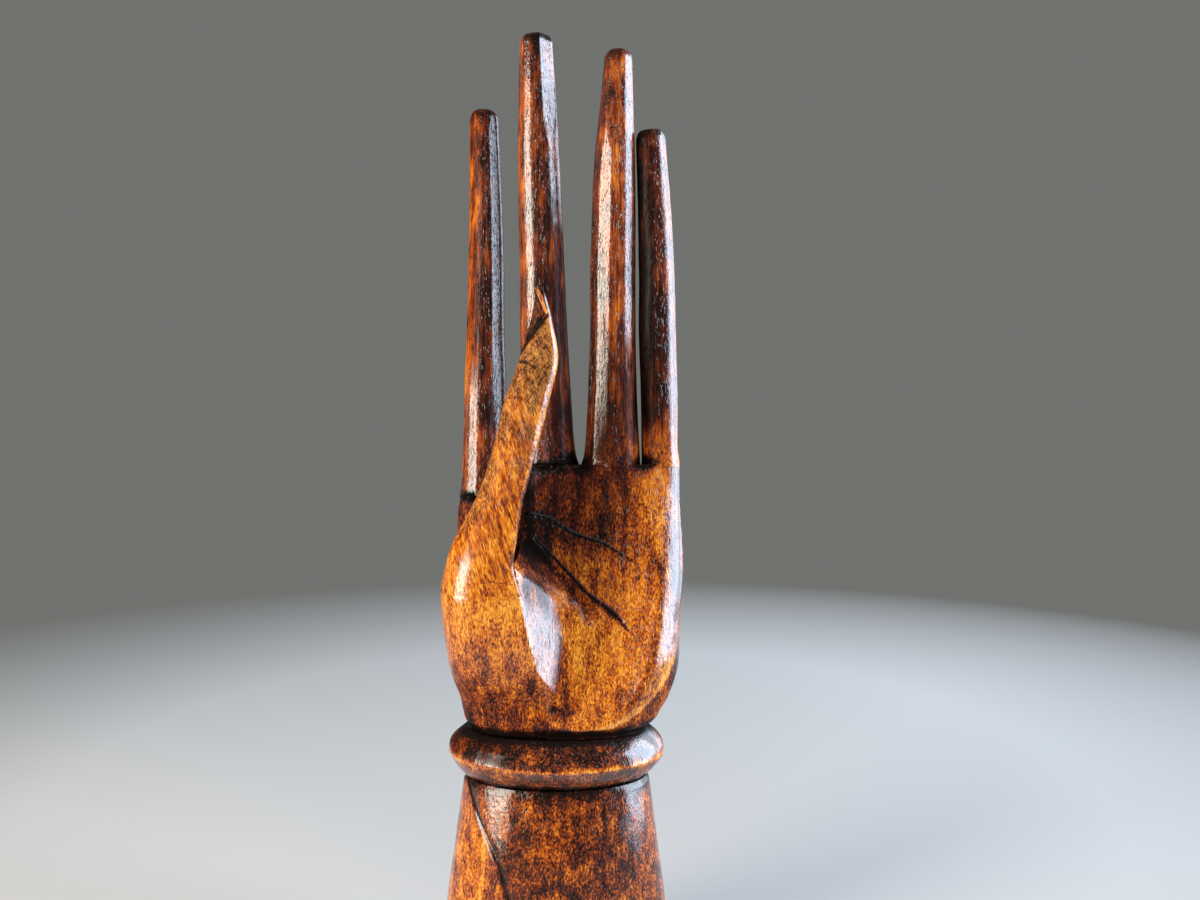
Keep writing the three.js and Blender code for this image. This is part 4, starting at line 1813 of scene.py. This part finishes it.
@dataclass
class Palm(CarvedPiece):
    """The hollowed palm with the ball of the thumb."""

    thumb: Thumb
    row: FingerRow
    oval: WristOval = field(default_factory=WristOval)
    node: str = "palm"
    finish: StainedWood = RUSSET
    z: float = 94.6
    height: float = 90.4
    base_shift: float = 1.5
    index_drop: float = 11.0
    squareness: float = 2.8
    rim_squareness: float = 2.4
    wrist_dowel_radius: float = 9.0
    wrist_dowel_bite: float = 15.0
    finger_dowel_radius: float = 2.5
    finger_dowel_bite: float = 13.0
    hollow_x: float = 11.0
    hollow_height: float = 65.5
    hollow_floor: float = -7.5
    hollow_half: Triple = (42.0, 20.0, 65.5)
    lip_round: float = 0.7
    fold_round: float = 5.0
    web_round: float = 13.0
    web_span: Pair = (8.0, 66.0)
    web_width: float = 30.0
    web_bite: float = 4.0
    waste_x: float = 60.0
    overcut: float = 2.0
    nick_spacing: float = 2.0
    blade: tuple[BladeMark, ...] = (BladeMark((8, 8, 14), 0.20, 51), BladeMark((2.4, 2.4, 4), 0.06, 52))
    at: tuple[float, ...] = (0, 0.05, 0.12, 0.24, 0.41, 0.58, 0.72, 0.86, 1)
    left: tuple[float, ...] = (-31.8, -33, -34, -34.4, -34.6, -34.6, -34.2)
    right: tuple[float, ...] = (35.6, 39.2, 42.4, 43.2, 44.3, 44, 43.2)
    front: tuple[float, ...] = (21.2, 21.6, 20.8, 18.6, 15.8, 13.4, 11.2, 9)
    back: tuple[float, ...] = (20.2, 20.3, 19.6, 18.4, 16.8, 15, 13, 10.8)
    grid: float = 0.56
    ball_tone: float = 0.14
    shades: tuple[Spot, ...] = (
        Spot(35.6, 152, 4, 5, -0.2),
        Spot(18, 116, 16, 16, 0.09),
        Spot(34, 172, 6, 12, 0.10),
        Spot(-4, 166.5, 6, 2.5, -0.2),
        Spot(20, 134.5, 4, 4, -0.12),
        # Painted shade in the recess behind the thumb.
        Spot(-6, 158, 9, 7, -0.28),
    )
    creases: tuple[Crease, ...] = (
        Crease(
            ((-10.4, 168.5), (-1.9, 166.5), (6, 161.4), (15.9, 158.3), (25.4, 152.8), (28.2, 151.6)),
            (0.35, 0.6, 0.45, 0.4, 0.3, 0.1),
            0.6,
            0.5,
        ),
        Crease(
            ((-7, 160), (-1.2, 153.9), (11.1, 140.9), (20, 134.4), (23, 131.2), (27.8, 125.9)),
            (0.35, 0.35, 0.45, 0.8, 0.4, 0.1),
            0.8,
            0.15,
        ),
        Crease(((12, 142.5), (15, 149), (18, 156)), (0.3, 0.5, 0.1), 0.2, 0.0),
    )
    glint_edge: Line = ((-3.7, 104.3), (0.4, 128.4), (-3, 140))
    ridge: Line = ((-2, 100), (-2, 108), (-5, 120), (-7.5, 130), (-10.5, 142), (-12.4, 152), (-11, 160))

    @property
    def index_seat(self) -> float:
        """The height of the index finger's seat over the palm's base."""
        return self.height - self.index_drop

    def seats(self) -> list[tuple[FingerShape, float]]:
        """Each finger with the height of its seat over the palm's base."""
        others = [(shape, self.height) for shape in (self.row.middle, self.row.ring, self.row.little)]
        return [(self.row.index, self.index_seat), *others]

    @property
    def places(self) -> Array:
        """Heights of the given sections over the palm's base."""
        return np.array(self.at) * self.height

    def sides(self, heights: Array) -> tuple[Array, Array]:
        """Finds the block's sides.

        Args:
            heights: Heights over the palm's base.

        Returns:
            The x of its left and of its right side at each height.
        """
        row, half = self.row, self.oval.half_width
        last = row.root(row.little) + row.little.widths[0] / 2
        left = (self.base_shift - half, *self.left, row.left)
        right = (self.base_shift + half, *self.right, last)
        return between(self.places, left, heights), between(self.places, right, heights)

    def block(self) -> Skin:
        """Lofts the palm's block and scoops its hollow.

        Returns:
            The block in the palm's frame.
        """
        levels = self.height * np.linspace(0, 1, 130) ** 1.25
        x0, x1 = self.sides(levels)
        back = between(self.places, (self.oval.half_depth, *self.back), levels)
        middle = np.stack([(x0 + x1) / 2, np.zeros(len(levels))], 1)
        outline = rounded(middle, (x1 - x0) / 2, self.front_depth(levels), back, self.squareness, 260)
        made = loft(levels, outline).piece("block")
        turn = np.linspace(-np.pi / 2, np.pi / 2, 122)[1:-1]
        half_x, half_y, half_z = self.hollow_half
        spot = np.tile((self.hollow_x, self.hollow_floor - half_y), (len(turn), 1))
        wide, deep = half_x * np.cos(turn), half_y * np.cos(turn)
        bowl = rounded(spot, wide, deep, deep, ELLIPSE, 200)
        shape_with(made, loft(self.hollow_height + half_z * np.sin(turn), bowl), Cut.REMOVE)
        points = Surface(made).points
        faces = [tuple(face.vertices) for face in made.data.polygons]
        discard(made)
        return Skin(points, faces)

    def front_depth(self, heights: Array) -> Array:
        """The block's depth towards the front at heights over the palm's base."""
        return between(self.places, (self.oval.half_depth, *self.front), heights)

    def floor(self, x: Array, heights: Array) -> Array:
        """Finds the hollow's floor.

        Args:
            x: Points across.
            heights: Their heights over the palm's base.

        Returns:
            The y of the floor at each point.
        """
        wide, deep, tall = self.hollow_half
        share = 1 - ((x - self.hollow_x) / wide) ** 2 - ((heights - self.hollow_height) / tall) ** 2
        return self.hollow_floor - deep * (1 - np.sqrt(np.maximum(share, 0)))

    def front_field(self, x: Array, z: Array) -> Array:
        """The y of the palm's front to the right of the ball's ridge.

        Args:
            x: Points across.
            z: Points' heights in the frame.

        Returns:
            Where the bowl, its lip and the web lie at each point.
        """
        heights, thumb = z - self.z, self.thumb
        x0, x1 = self.sides(heights)
        share = np.clip(np.abs(2 * x - x0 - x1) / (x1 - x0), 0, 0.999)
        p = self.rim_squareness
        block = -self.front_depth(heights) * (1 - share**p) ** (1 / p)
        bowl = ease_max(block, self.floor(x, heights), self.lip_round)
        ridge_x, ridge_y = thumb.read(thumb.ridge_x, heights), thumb.read(thumb.ridge_y, heights)
        web = ridge_y + thumb.web_gap + thumb.web_fall * (x - ridge_x) + 40 * ramp(heights, 59, 68)
        beyond = ease_max(x - x_along(thumb.web_fold, heights), 0 * x, self.fold_round)
        web += thumb.web_plunge * ramp(heights, 35, 47) * beyond
        return -ease_max(-bowl, -web, self.web_round)

    def web(self) -> Skin:
        """Adds wood for the web between the ball and the hollow.

        Returns:
            The wood in the palm's frame.
        """
        thumb = self.thumb
        levels = np.linspace(*self.web_span, 60)
        x, y = thumb.read(thumb.ridge_x, levels), thumb.read(thumb.ridge_y, levels) + thumb.web_gap
        back, far = np.full(len(levels), self.hollow_floor + self.web_bite), x + self.web_width
        outline = ((x, y), (far, y), (far, back), (x, back))
        return loft(levels, np.stack([np.stack(corner, 1) for corner in outline], 1))

    def front_waste(self) -> Skin:
        """All that is carved away in front of the palm, right of the ball's ridge.

        Returns:
            The waste in the palm's frame.
        """
        levels = np.linspace(-self.overcut, self.height + self.overcut, 190)
        share = np.linspace(1, 0, 140)
        ridge = self.thumb.read(self.thumb.ridge_x, levels)[:, None]
        x = ridge + share * (self.waste_x - ridge)
        z = np.repeat(levels, len(share)) + self.z
        y = self.front_field(x.ravel(), z).reshape(x.shape)
        near = np.stack([x[:, ::-1], np.full(x.shape, -FAR)], 2)
        return loft(levels, np.concatenate([near, np.stack([x, y], 2)], 1))

    def notch(self) -> Skin:
        """The step from the other fingers' ledge down to the index finger's seat.

        Returns:
            The waste over the step, in the palm's frame.
        """
        row, top = self.row, self.height + self.overcut
        near = row.root(row.index) + row.index.widths[0] / 2 + row.clearance
        far = row.root(row.middle) - row.middle.widths[0] / 2 - row.clearance
        t = np.linspace(0, 1, 20)
        x = near + (far - near) * (1.5 * t * (1 - t) ** 2 + 1.5 * t**2 * (1 - t) + t**3)
        z = self.index_seat + self.index_drop * (3 * t**2 - 2 * t**3)
        edge = [(-FAR, self.index_seat), *zip(x, z), (far, top), (-FAR, top)]
        count = len(edge)
        points = np.array([(px, y, pz) for y in (-FAR, FAR) for px, pz in edge])
        sides = [((i + 1) % count, i, i + count, (i + 1) % count + count) for i in range(count)]
        faces = [tuple(range(count)), tuple(range(count, 2 * count))[::-1], *sides]
        return Skin(points, faces)

    def build(self) -> Piece:
        """Joins block and ball, cuts the step and the bores, and evens the mesh.

        Returns:
            The palm.
        """
        x, y = self.thumb.dowel_place()
        low = self.thumb.seat - self.thumb.dowel_bite - DOWEL_FIT
        tools = [
            (self.notch(), Cut.REMOVE),
            (self.thumb.ball(), Cut.JOIN),
            (self.web(), Cut.JOIN),
            (self.front_waste(), Cut.REMOVE),
            (bore(self.wrist_dowel_radius, -1, self.wrist_dowel_bite + DOWEL_FIT, 0, 0), Cut.REMOVE),
            (bore(self.thumb.dowel_radius, low, self.thumb.seat + 1, x, y), Cut.REMOVE),
        ]
        for shape, seat in self.seats():
            low = seat - self.finger_dowel_bite - DOWEL_FIT
            hole = bore(self.finger_dowel_radius, low, seat + 1, self.row.root(shape), self.row.y)
            tools.append((hole, Cut.REMOVE))
        piece = self.block().raised(self.z).piece("palm_carving")
        for tool, how in tools:
            shape_with(piece, tool.raised(self.z), how)
        even_out(piece, self.grid)
        return piece

    def carve(self, surface: Surface) -> None:
        """Eases the edges, blends the ball into the hollow and cuts the lines of the hand.

        Args:
            surface: Its surface.
        """
        x, y, z = surface.points.T
        seat = self.z + self.thumb.seat
        rim = (np.abs(z - seat) < 1.2) & (x < -8) & (y < 6)
        top = np.where(x < -14, self.z + self.index_seat, self.z + self.height)
        ledge = (np.abs(z - top) < 0.8) & (surface.normals[:, 2] > 0.3)
        outside = np.where(rim | ledge, 0.0, 1.0)
        surface.soften(4, outside)
        ridge = self.thumb.read(self.thumb.ridge_x, z - self.z)
        heel = ramp(self.z + 24 - z, 0, 8) * ramp(ridge + 3 - x, 0, 6) * ramp(-y, 2, 8)
        surface.soften(60, heel * outside)
        flat = surface.normals * (1, 1, 0)
        cove = ramp(self.z + 4.2 - z, 0, 4.2) * (np.hypot(x, y) > 12)
        inset = ramp(z, self.z + self.index_seat - 7, self.z + self.index_seat) * ramp(-28 - x, 0, 3)
        surface.points -= (2.0 * cove + 0.6 * inset)[:, None] * flat
        surface.write()
        front = surface.front(0.15, 0.5)
        surface.plane(self.blade, outside * ramp(z, self.z + 1, self.z + 5))
        depth = np.zeros(len(x))
        for crease in self.creases:
            distance, run, width = crease.measure(x, z)
            nick = 1 + crease.nicks * np.sin(run * 2 * np.pi / self.nick_spacing)
            wander = 1 + 0.35 * lattice_noise(surface.points, (2.5, 2.5, 2.5), 53)
            cut = crease.depth * ramp(width, 0.05, 0.5) * nick * wander
            depth += cut * np.exp(-np.abs(distance / np.maximum(width, 0.3)) ** 1.6)
        surface.push(-front * (y < 0) * depth)
        ragged = 0.7 + 0.6 * lattice_noise(surface.points, (1.4, 1.4, 1.2), 55)
        surface.push(-front * ragged * patches(surface.points, ROOT_POCKETS))

    def stain(self, surface: Surface) -> Stains:
        """Amber on the ball, dark under it and behind the thumb, black in every line; the dark behind the
        thumb, in the cove under the hollow's lip, in the strip below the web's fold and in the hollows is
        painted shade.

        Args:
            surface: Its surface.

        Returns:
            Each stain's strength at each point.
        """
        points = surface.points
        x, y, z = points.T
        ragged = lattice_noise(points, (4, 4, 5), 81)
        front = surface.front(-0.1, 0.4)
        edge = x_along(self.ridge, z)
        left = ramp(edge - x, -1.2, 1.0) * ramp(-y, 4, 10)
        ball = left * ramp(z + 3 * ragged, 122, 134)
        rise = self.rise(x, z)
        # The heel is darker: painted shade in the cove under the hollow's lip, and darker stain low on the
        # ball.
        heel = np.maximum(left, ramp(-rise, 0.0, 1.5)) * ramp(126 - z + 3 * ragged, 0, 16) * ramp(6 - y, 0, 8)
        tone = np.where(y < 0, self.front_tone(points), 0.42) + self.ball_tone * ball - 0.11 * heel
        lip = bell(rise - 0.3, 1.0) * ramp(x - edge, 1.0, 4.0) * front * (z < self.z + 45)
        tone += 0.22 * lip
        web = ramp(x - edge, 0.0, 2.0) * ramp(edge + 12 - x, 0.0, 5.0) * ramp(152 - z, 0, 6) * front
        crown = web * ramp(z + 3 * ragged, 133, 142)
        tone -= 0.2 * web + 0.12 * crown + 0.34 * ramp(x, 38.0, 41.5) * front
        bend = surface.hollowness(2)
        wide = surface.spread(bend, 10)
        below_top = ramp(self.z + self.height - z, 0.8, 3.0)
        # Painted shade in the hollows, by curvature, fine and broad.
        dirt = (0.9 * ramp(bend, 0.16, 0.7) + 0.25 * ramp(wide, 0.03, 0.15)) * below_top
        for crease in self.creases:
            distance, _, width = crease.measure(x, z)
            reach = np.maximum(width, 0.25) * (1.3 + 0.5 * ragged)
            line = crease.depth * ramp(width, 0.05, 0.4) * bell(distance, reach)
            dirt += front * (y < 0) * line
        inner = x_along(self.thumb.web_fold, z - self.z)
        outer = x_along(self.creases[1].line, z)
        # Painted shadow of the thumb and the ball's ridge on the strip between the web's fold and the second
        # crease.
        strip = ramp(x - inner, -1.0, 1.5) * ramp(outer + 1 - x, 0.0, 3.0) * ramp(z, 132, 140) * front
        dirt += 0.35 * strip + (0.22 * heel + 0.3 * crown) * (0.6 + ragged)
        matte = np.maximum(strip, 0.5 * ramp(z, 152, 166) * ramp(34 - x, 0, 8)) * (y < 0)
        matte = np.maximum(matte, np.maximum(0.85 * heel, 0.6 * crown))
        side = x - x_along(self.glint_edge, z)
        beside = ramp(side, -1.0, 4.0) * ramp(15 - side, 0.0, 6.0) * ramp(z, 100, 106) * ramp(144 - z, 0, 8)
        matte = np.maximum(matte, beside * front)
        dirt += pocket_dirt(points, ragged, 84) * front
        seam = bell(z - self.z - self.thumb.seat, 0.6) * left
        dirt += 0.25 * seam * (0.6 + lattice_noise(points, (3, 3, 3), 85)) * ramp(x, -32, -22)
        dirt += 0.7 * ramp(self.z + 5 - z + 1.5 * ragged, 0, 4)
        wear = ramp(-surface.spread(bend, 2), 0.10, 0.55) * (0.7 + 0.5 * ragged)
        wear *= ramp(np.abs(z - self.z - self.thumb.seat), 1.0, 2.5) * below_top
        return {**stains(tone, dirt, wear, matte), Stain.GRAIN: 0.3 * ramp(z, 165, 184)}

    def rise(self, x: Array, z: Array) -> Array:
        """How far behind the block's front the hollow's floor lies; it breaks out of the front at zero."""
        heights = z - self.z
        return self.floor(x, heights) + self.front_depth(heights)

    def front_tone(self, points: Array) -> Array:
        """The stain on the front of the palm with painted shade: dark red near the fingers, partly as painted
        shadow of the thumb, and black behind the thumb as painted shade.

        Args:
            points: Points in millimetres.

        Returns:
            How light the stain is at each point.
        """
        x, _, z = points.T
        # The upper palm is darker: a darker red stain with the thumb's painted shadow.
        upper = ramp(z, 146, 162) * ramp(36 - x, 0, 16)
        cloud = 0.06 * lattice_noise(points, (6, 6, 9), 82)
        return 0.65 - 0.31 * upper + cloud + patches(points, self.shades)


@dataclass(frozen=True)
class DowelPlace:
    """One hidden dowel: its node, radius, length and middle."""

    node: str
    radius: float
    length: float
    middle: Triple


@dataclass
class Dowels:
    """The fluted dowels that key the glued joints, all from one geometry tree."""

    places: Sequence[DowelPlace]
    chamfer: float = 0.8
    flute_depth: float = 0.25
    flutes: int = 12
    around: int = 96
    rows: int = 41
    sharp_angle: float = 35.0
    finish: StainedWood = BARE

    def tree(self) -> ShapeTree:
        """Builds the tree of one dowel.

        Returns:
            The geometry tree, with the dowel's sizes as inputs.
        """
        tree = ShapeTree("fluted_dowel", ("Radius", "Length", "Chamfer", "Flutes", "Flute Depth"))
        get, calc = tree.inputs, tree.math
        grid, angle, share = tree.sheet(self.around, self.rows)
        end = calc("SUBTRACT", get["Radius"], get["Chamfer"])
        wall = calc("MULTIPLY_ADD", get["Chamfer"], -2.0, get["Length"])
        low_rim = tree.span(share, 0.2, 0.25, 0.0, get["Chamfer"])
        high_rim = tree.span(share, 0.75, 0.8, 0.0, get["Chamfer"])
        out = calc("ADD", tree.span(share, 0.0, 0.2, 0.0, end), low_rim)
        back = calc("ADD", high_rim, tree.span(share, 0.8, 1.0, 0.0, end))
        wave = calc("MAXIMUM", calc("COSINE", calc("MULTIPLY", angle, get["Flutes"])), 0.0)
        full = calc("MULTIPLY", tree.span(share, 0.25, 0.3, 0.0, 1.0), tree.span(share, 0.7, 0.75, 1.0, 0.0))
        flute = calc("MULTIPLY", calc("MULTIPLY", wave, full), get["Flute Depth"])
        radius = calc("SUBTRACT", calc("SUBTRACT", out, back), flute)
        low = calc("ADD", low_rim, tree.span(share, 0.25, 0.75, 0.0, wall))
        high = calc("ADD", low, high_rim)
        z = calc("MULTIPLY_ADD", get["Length"], -0.5, high)
        x, y = calc("COSINE", angle), calc("SINE", angle)
        tree.close(grid, calc("MULTIPLY", radius, x), calc("MULTIPLY", radius, y), z)
        return tree

    def build(self, material: Material) -> list[Piece]:
        """Runs the tree once for each dowel.

        Args:
            material: Their finish.

        Returns:
            The dowels in order.
        """
        tree = self.tree()
        sizes = {"Chamfer": self.chamfer, "Flutes": float(self.flutes), "Flute Depth": self.flute_depth}
        made = []
        for place in self.places:
            spot = tuple(v * MM for v in place.middle)
            own = {"Radius": place.radius, "Length": place.length, "Place": spot, "Finish": material}
            made.append(tree.run(f"{place.node}_fluted", {**sizes, **own}))
        return made

    def dress(self, pieces: Sequence[Piece]) -> None:
        """Paints the dowels plain and gives them their places in the frame.

        Args:
            pieces: The dowels in order.
        """
        for piece, place in zip(pieces, self.places):
            surface = Surface(piece)
            for stain in Stain:
                surface.paint(stain, np.zeros(surface.count))
            piece.data.shade_smooth()
            piece.data.set_sharp_from_angle(angle=math.radians(self.sharp_angle))
            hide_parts(place.node)
            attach(piece, BODY)
            LOG.info("%s: %d faces", piece.name, len(piece.data.polygons))


# Studio


@dataclass(frozen=True)
class Softbox:
    """One soft lamp that faces the hand."""

    name: str
    place: Triple
    size: Pair
    radiance: float
    colour: Colour
    mirrored: bool = True

    def build(self, target: Triple) -> None:
        """Hangs the lamp.

        Args:
            target: The point that it faces.
        """
        lamp = bpy.data.lights.new(self.name, "AREA")
        lamp.shape = "RECTANGLE"
        lamp.size, lamp.size_y = self.size
        lamp.energy = self.radiance * math.pi * self.size[0] * self.size[1]
        lamp.color = self.colour
        held = bpy.data.objects.new(self.name, lamp)
        held.location = self.place
        way = np.array(target) - np.array(self.place)
        flat = math.hypot(way[0], way[1])
        held.rotation_euler = (math.atan2(flat, -way[2]), 0.0, math.atan2(-way[0], way[1]))
        held.visible_camera = False
        held.visible_glossy = self.mirrored
        bpy.context.scene.collection.objects.link(held)


@dataclass
class Studio:
    """Camera, lamps, floor and the pale room round the hand."""

    camera_place: Triple = (0.0152, -0.315, 0.190)
    lens: float = 27.0
    sensor: float = 36.0
    clip_start: float = 0.01
    target: Triple = (0.0, 0.0, 0.19)
    floor_radius: float = 1.0
    floor_middle: Triple = (0.0, 0.25, 0.0)
    floor_colour: Colour = (0.56, 0.55, 0.53)
    room_colour: Colour = (0.165, 0.17, 0.16)
    shade_colour: Colour = (0.03, 0.03, 0.03)
    floor_fade: Pair = (0.3, 0.75)
    wall_fade: Pair = (-0.3, 0.45)
    boxes: tuple[Softbox, ...] = (
        Softbox("key", (-0.56, -0.42, 0.32), (0.28, 0.70), 13.0, (1.0, 0.90, 0.76)),
        Softbox("window", (2.02, -0.13, 0.66), (1.50, 2.12), 11.5, (0.70, 0.82, 1.0)),
        Softbox("side_window", (1.70, 1.11, 0.66), (1.50, 2.12), 4.6, (0.71, 0.82, 1.0)),
        Softbox("fill", (0.10, -0.90, 0.95), (1.2, 1.0), 1.1, (1.0, 0.97, 0.93), mirrored=False),
    )

    def build(self) -> None:
        """Sets up the whole studio."""
        scene = bpy.context.scene
        scene.view_settings.view_transform = "Standard"
        lens = bpy.data.cameras.new("camera")
        lens.lens, lens.sensor_width, lens.sensor_fit = self.lens, self.sensor, "HORIZONTAL"
        lens.clip_start = self.clip_start
        camera = bpy.data.objects.new("camera", lens)
        camera.location = self.camera_place
        camera.rotation_euler = (math.pi / 2, 0.0, 0.0)
        scene.collection.objects.link(camera)
        scene.camera = camera
        for box in self.boxes:
            box.build(self.target)
        self.room()
        self.floor()

    def room(self) -> None:
        """Sets the hand before a plain pale wall, with the dim side of the room behind the camera."""
        world = bpy.data.worlds.new("room")
        world.use_nodes = True
        world.node_tree.nodes.clear()
        tree = NodeTree(world.node_tree)
        way = tree.add("ShaderNodeTexCoord").outputs["Generated"]
        depth = tree.add("ShaderNodeSeparateXYZ", {"Vector": way}).outputs["Y"]
        share = tree.span(depth, *self.wall_fade, 0.0, 1.0)
        ends = {"A": (*self.shade_colour, 1.0), "B": (*self.room_colour, 1.0)}
        glow = tree.add("ShaderNodeBackground", {"Color": tree.blend({"Factor": share, **ends})})
        tree.add("ShaderNodeOutputWorld", {"Surface": glow.outputs["Background"]})
        bpy.context.scene.world = world

    def floor(self) -> None:
        """Lays a pale floor that fades into the room."""
        angle = np.linspace(0, 2 * np.pi, 96, endpoint=False)
        edge = np.stack([np.cos(angle), np.sin(angle), 0 * angle], 1) * self.floor_radius
        mesh = bpy.data.meshes.new("floor")
        mesh.from_pydata(edge.tolist(), [], [tuple(range(len(edge)))])
        made = bpy.data.materials.new("pale_floor")
        made.use_nodes = True
        made.node_tree.nodes.clear()
        tree = NodeTree(made.node_tree)
        place = tree.add("ShaderNodeTexCoord").outputs["Object"]
        ends = {0: place, 1: self.floor_middle}
        away = tree.add("ShaderNodeVectorMath", ends, operation="DISTANCE").outputs["Value"]
        look = {"Base Color": (*self.floor_colour, 1.0), "Roughness": 0.8, "Specular IOR Level": 0.1}
        paint = tree.add("ShaderNodeBsdfPrincipled", look).outputs["BSDF"]
        clear = tree.add("ShaderNodeBsdfTransparent").outputs["BSDF"]
        fade = tree.span(away, *self.floor_fade, 0.0, 1.0)
        mixed = tree.add("ShaderNodeMixShader", {0: fade, 1: paint, 2: clear}).outputs["Shader"]
        tree.add("ShaderNodeOutputMaterial", {"Surface": mixed})
        mesh.materials.append(made)
        floor = bpy.data.objects.new("floor", mesh)
        bpy.context.scene.collection.objects.link(floor)


# The hand


@dataclass
class MudraHand:
    """All pieces of the hand, from the same sizes."""

    oval: WristOval = field(default_factory=WristOval)
    row: FingerRow = field(default_factory=FingerRow)
    first_seed: int = 100
    seed_step: int = 10

    def dowels(self, palm: Palm, thumb: Thumb, forearm: Forearm) -> list[DowelPlace]:
        """Works out where the dowels lie.

        Args:
            palm: The palm with its seats.
            thumb: The thumb with its dowel's place.
            forearm: The post that holds the wrist's dowel.

        Returns:
            One place for each hidden dowel.
        """
        x, y = thumb.dowel_place()
        long = palm.z - forearm.height + 2 * palm.wrist_dowel_bite
        seat = palm.z + thumb.seat + GLUE_LINE / 2
        found = [
            DowelPlace("wrist_dowel", palm.wrist_dowel_radius, long, (0, 0, (forearm.height + palm.z) / 2)),
            DowelPlace("thumb_dowel", thumb.dowel_radius, 2 * thumb.dowel_bite + GLUE_LINE, (x, y, seat)),
        ]
        length = 2 * palm.finger_dowel_bite + GLUE_LINE
        for shape, seat in palm.seats():
            middle = (self.row.root(shape), self.row.y, palm.z + seat + GLUE_LINE / 2)
            found.append(DowelPlace(f"{shape.name}_dowel", palm.finger_dowel_radius, length, middle))
        return found

    def build(self) -> None:
        """Makes every piece in order, from the post up to the fingertips."""
        looks = {finish.name: finish.material() for finish in (AMBER, RUSSET, DARK, BARE)}
        forearm = Forearm(oval=self.oval)
        thumb = Thumb()
        palm = Palm(thumb=thumb, row=self.row, oval=self.oval)
        thumb.palm = palm
        pieces: list[CarvedPiece] = [forearm, WristCollar(oval=self.oval), palm, thumb]
        for i, (shape, seat) in enumerate(palm.seats()):
            seed, cut = self.first_seed + self.seed_step * i, FINGER_CUTS[shape.name]
            pieces.append(Finger(shape, self.row, palm.z + seat, cut, palm, seed))
        for piece in pieces:
            piece.make(looks[piece.finish.name])
        keys = Dowels(self.dowels(palm, thumb, forearm))
        keys.dress(keys.build(looks[keys.finish.name]))


def main() -> None:
    """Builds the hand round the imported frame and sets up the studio."""
    for each in list(bpy.data.objects):
        bpy.data.objects.remove(each)
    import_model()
    Studio().build()
    MudraHand().build()


if __name__ == "__main__":
    logging.basicConfig(level=logging.INFO, format="%(name)s %(message)s")
    main()
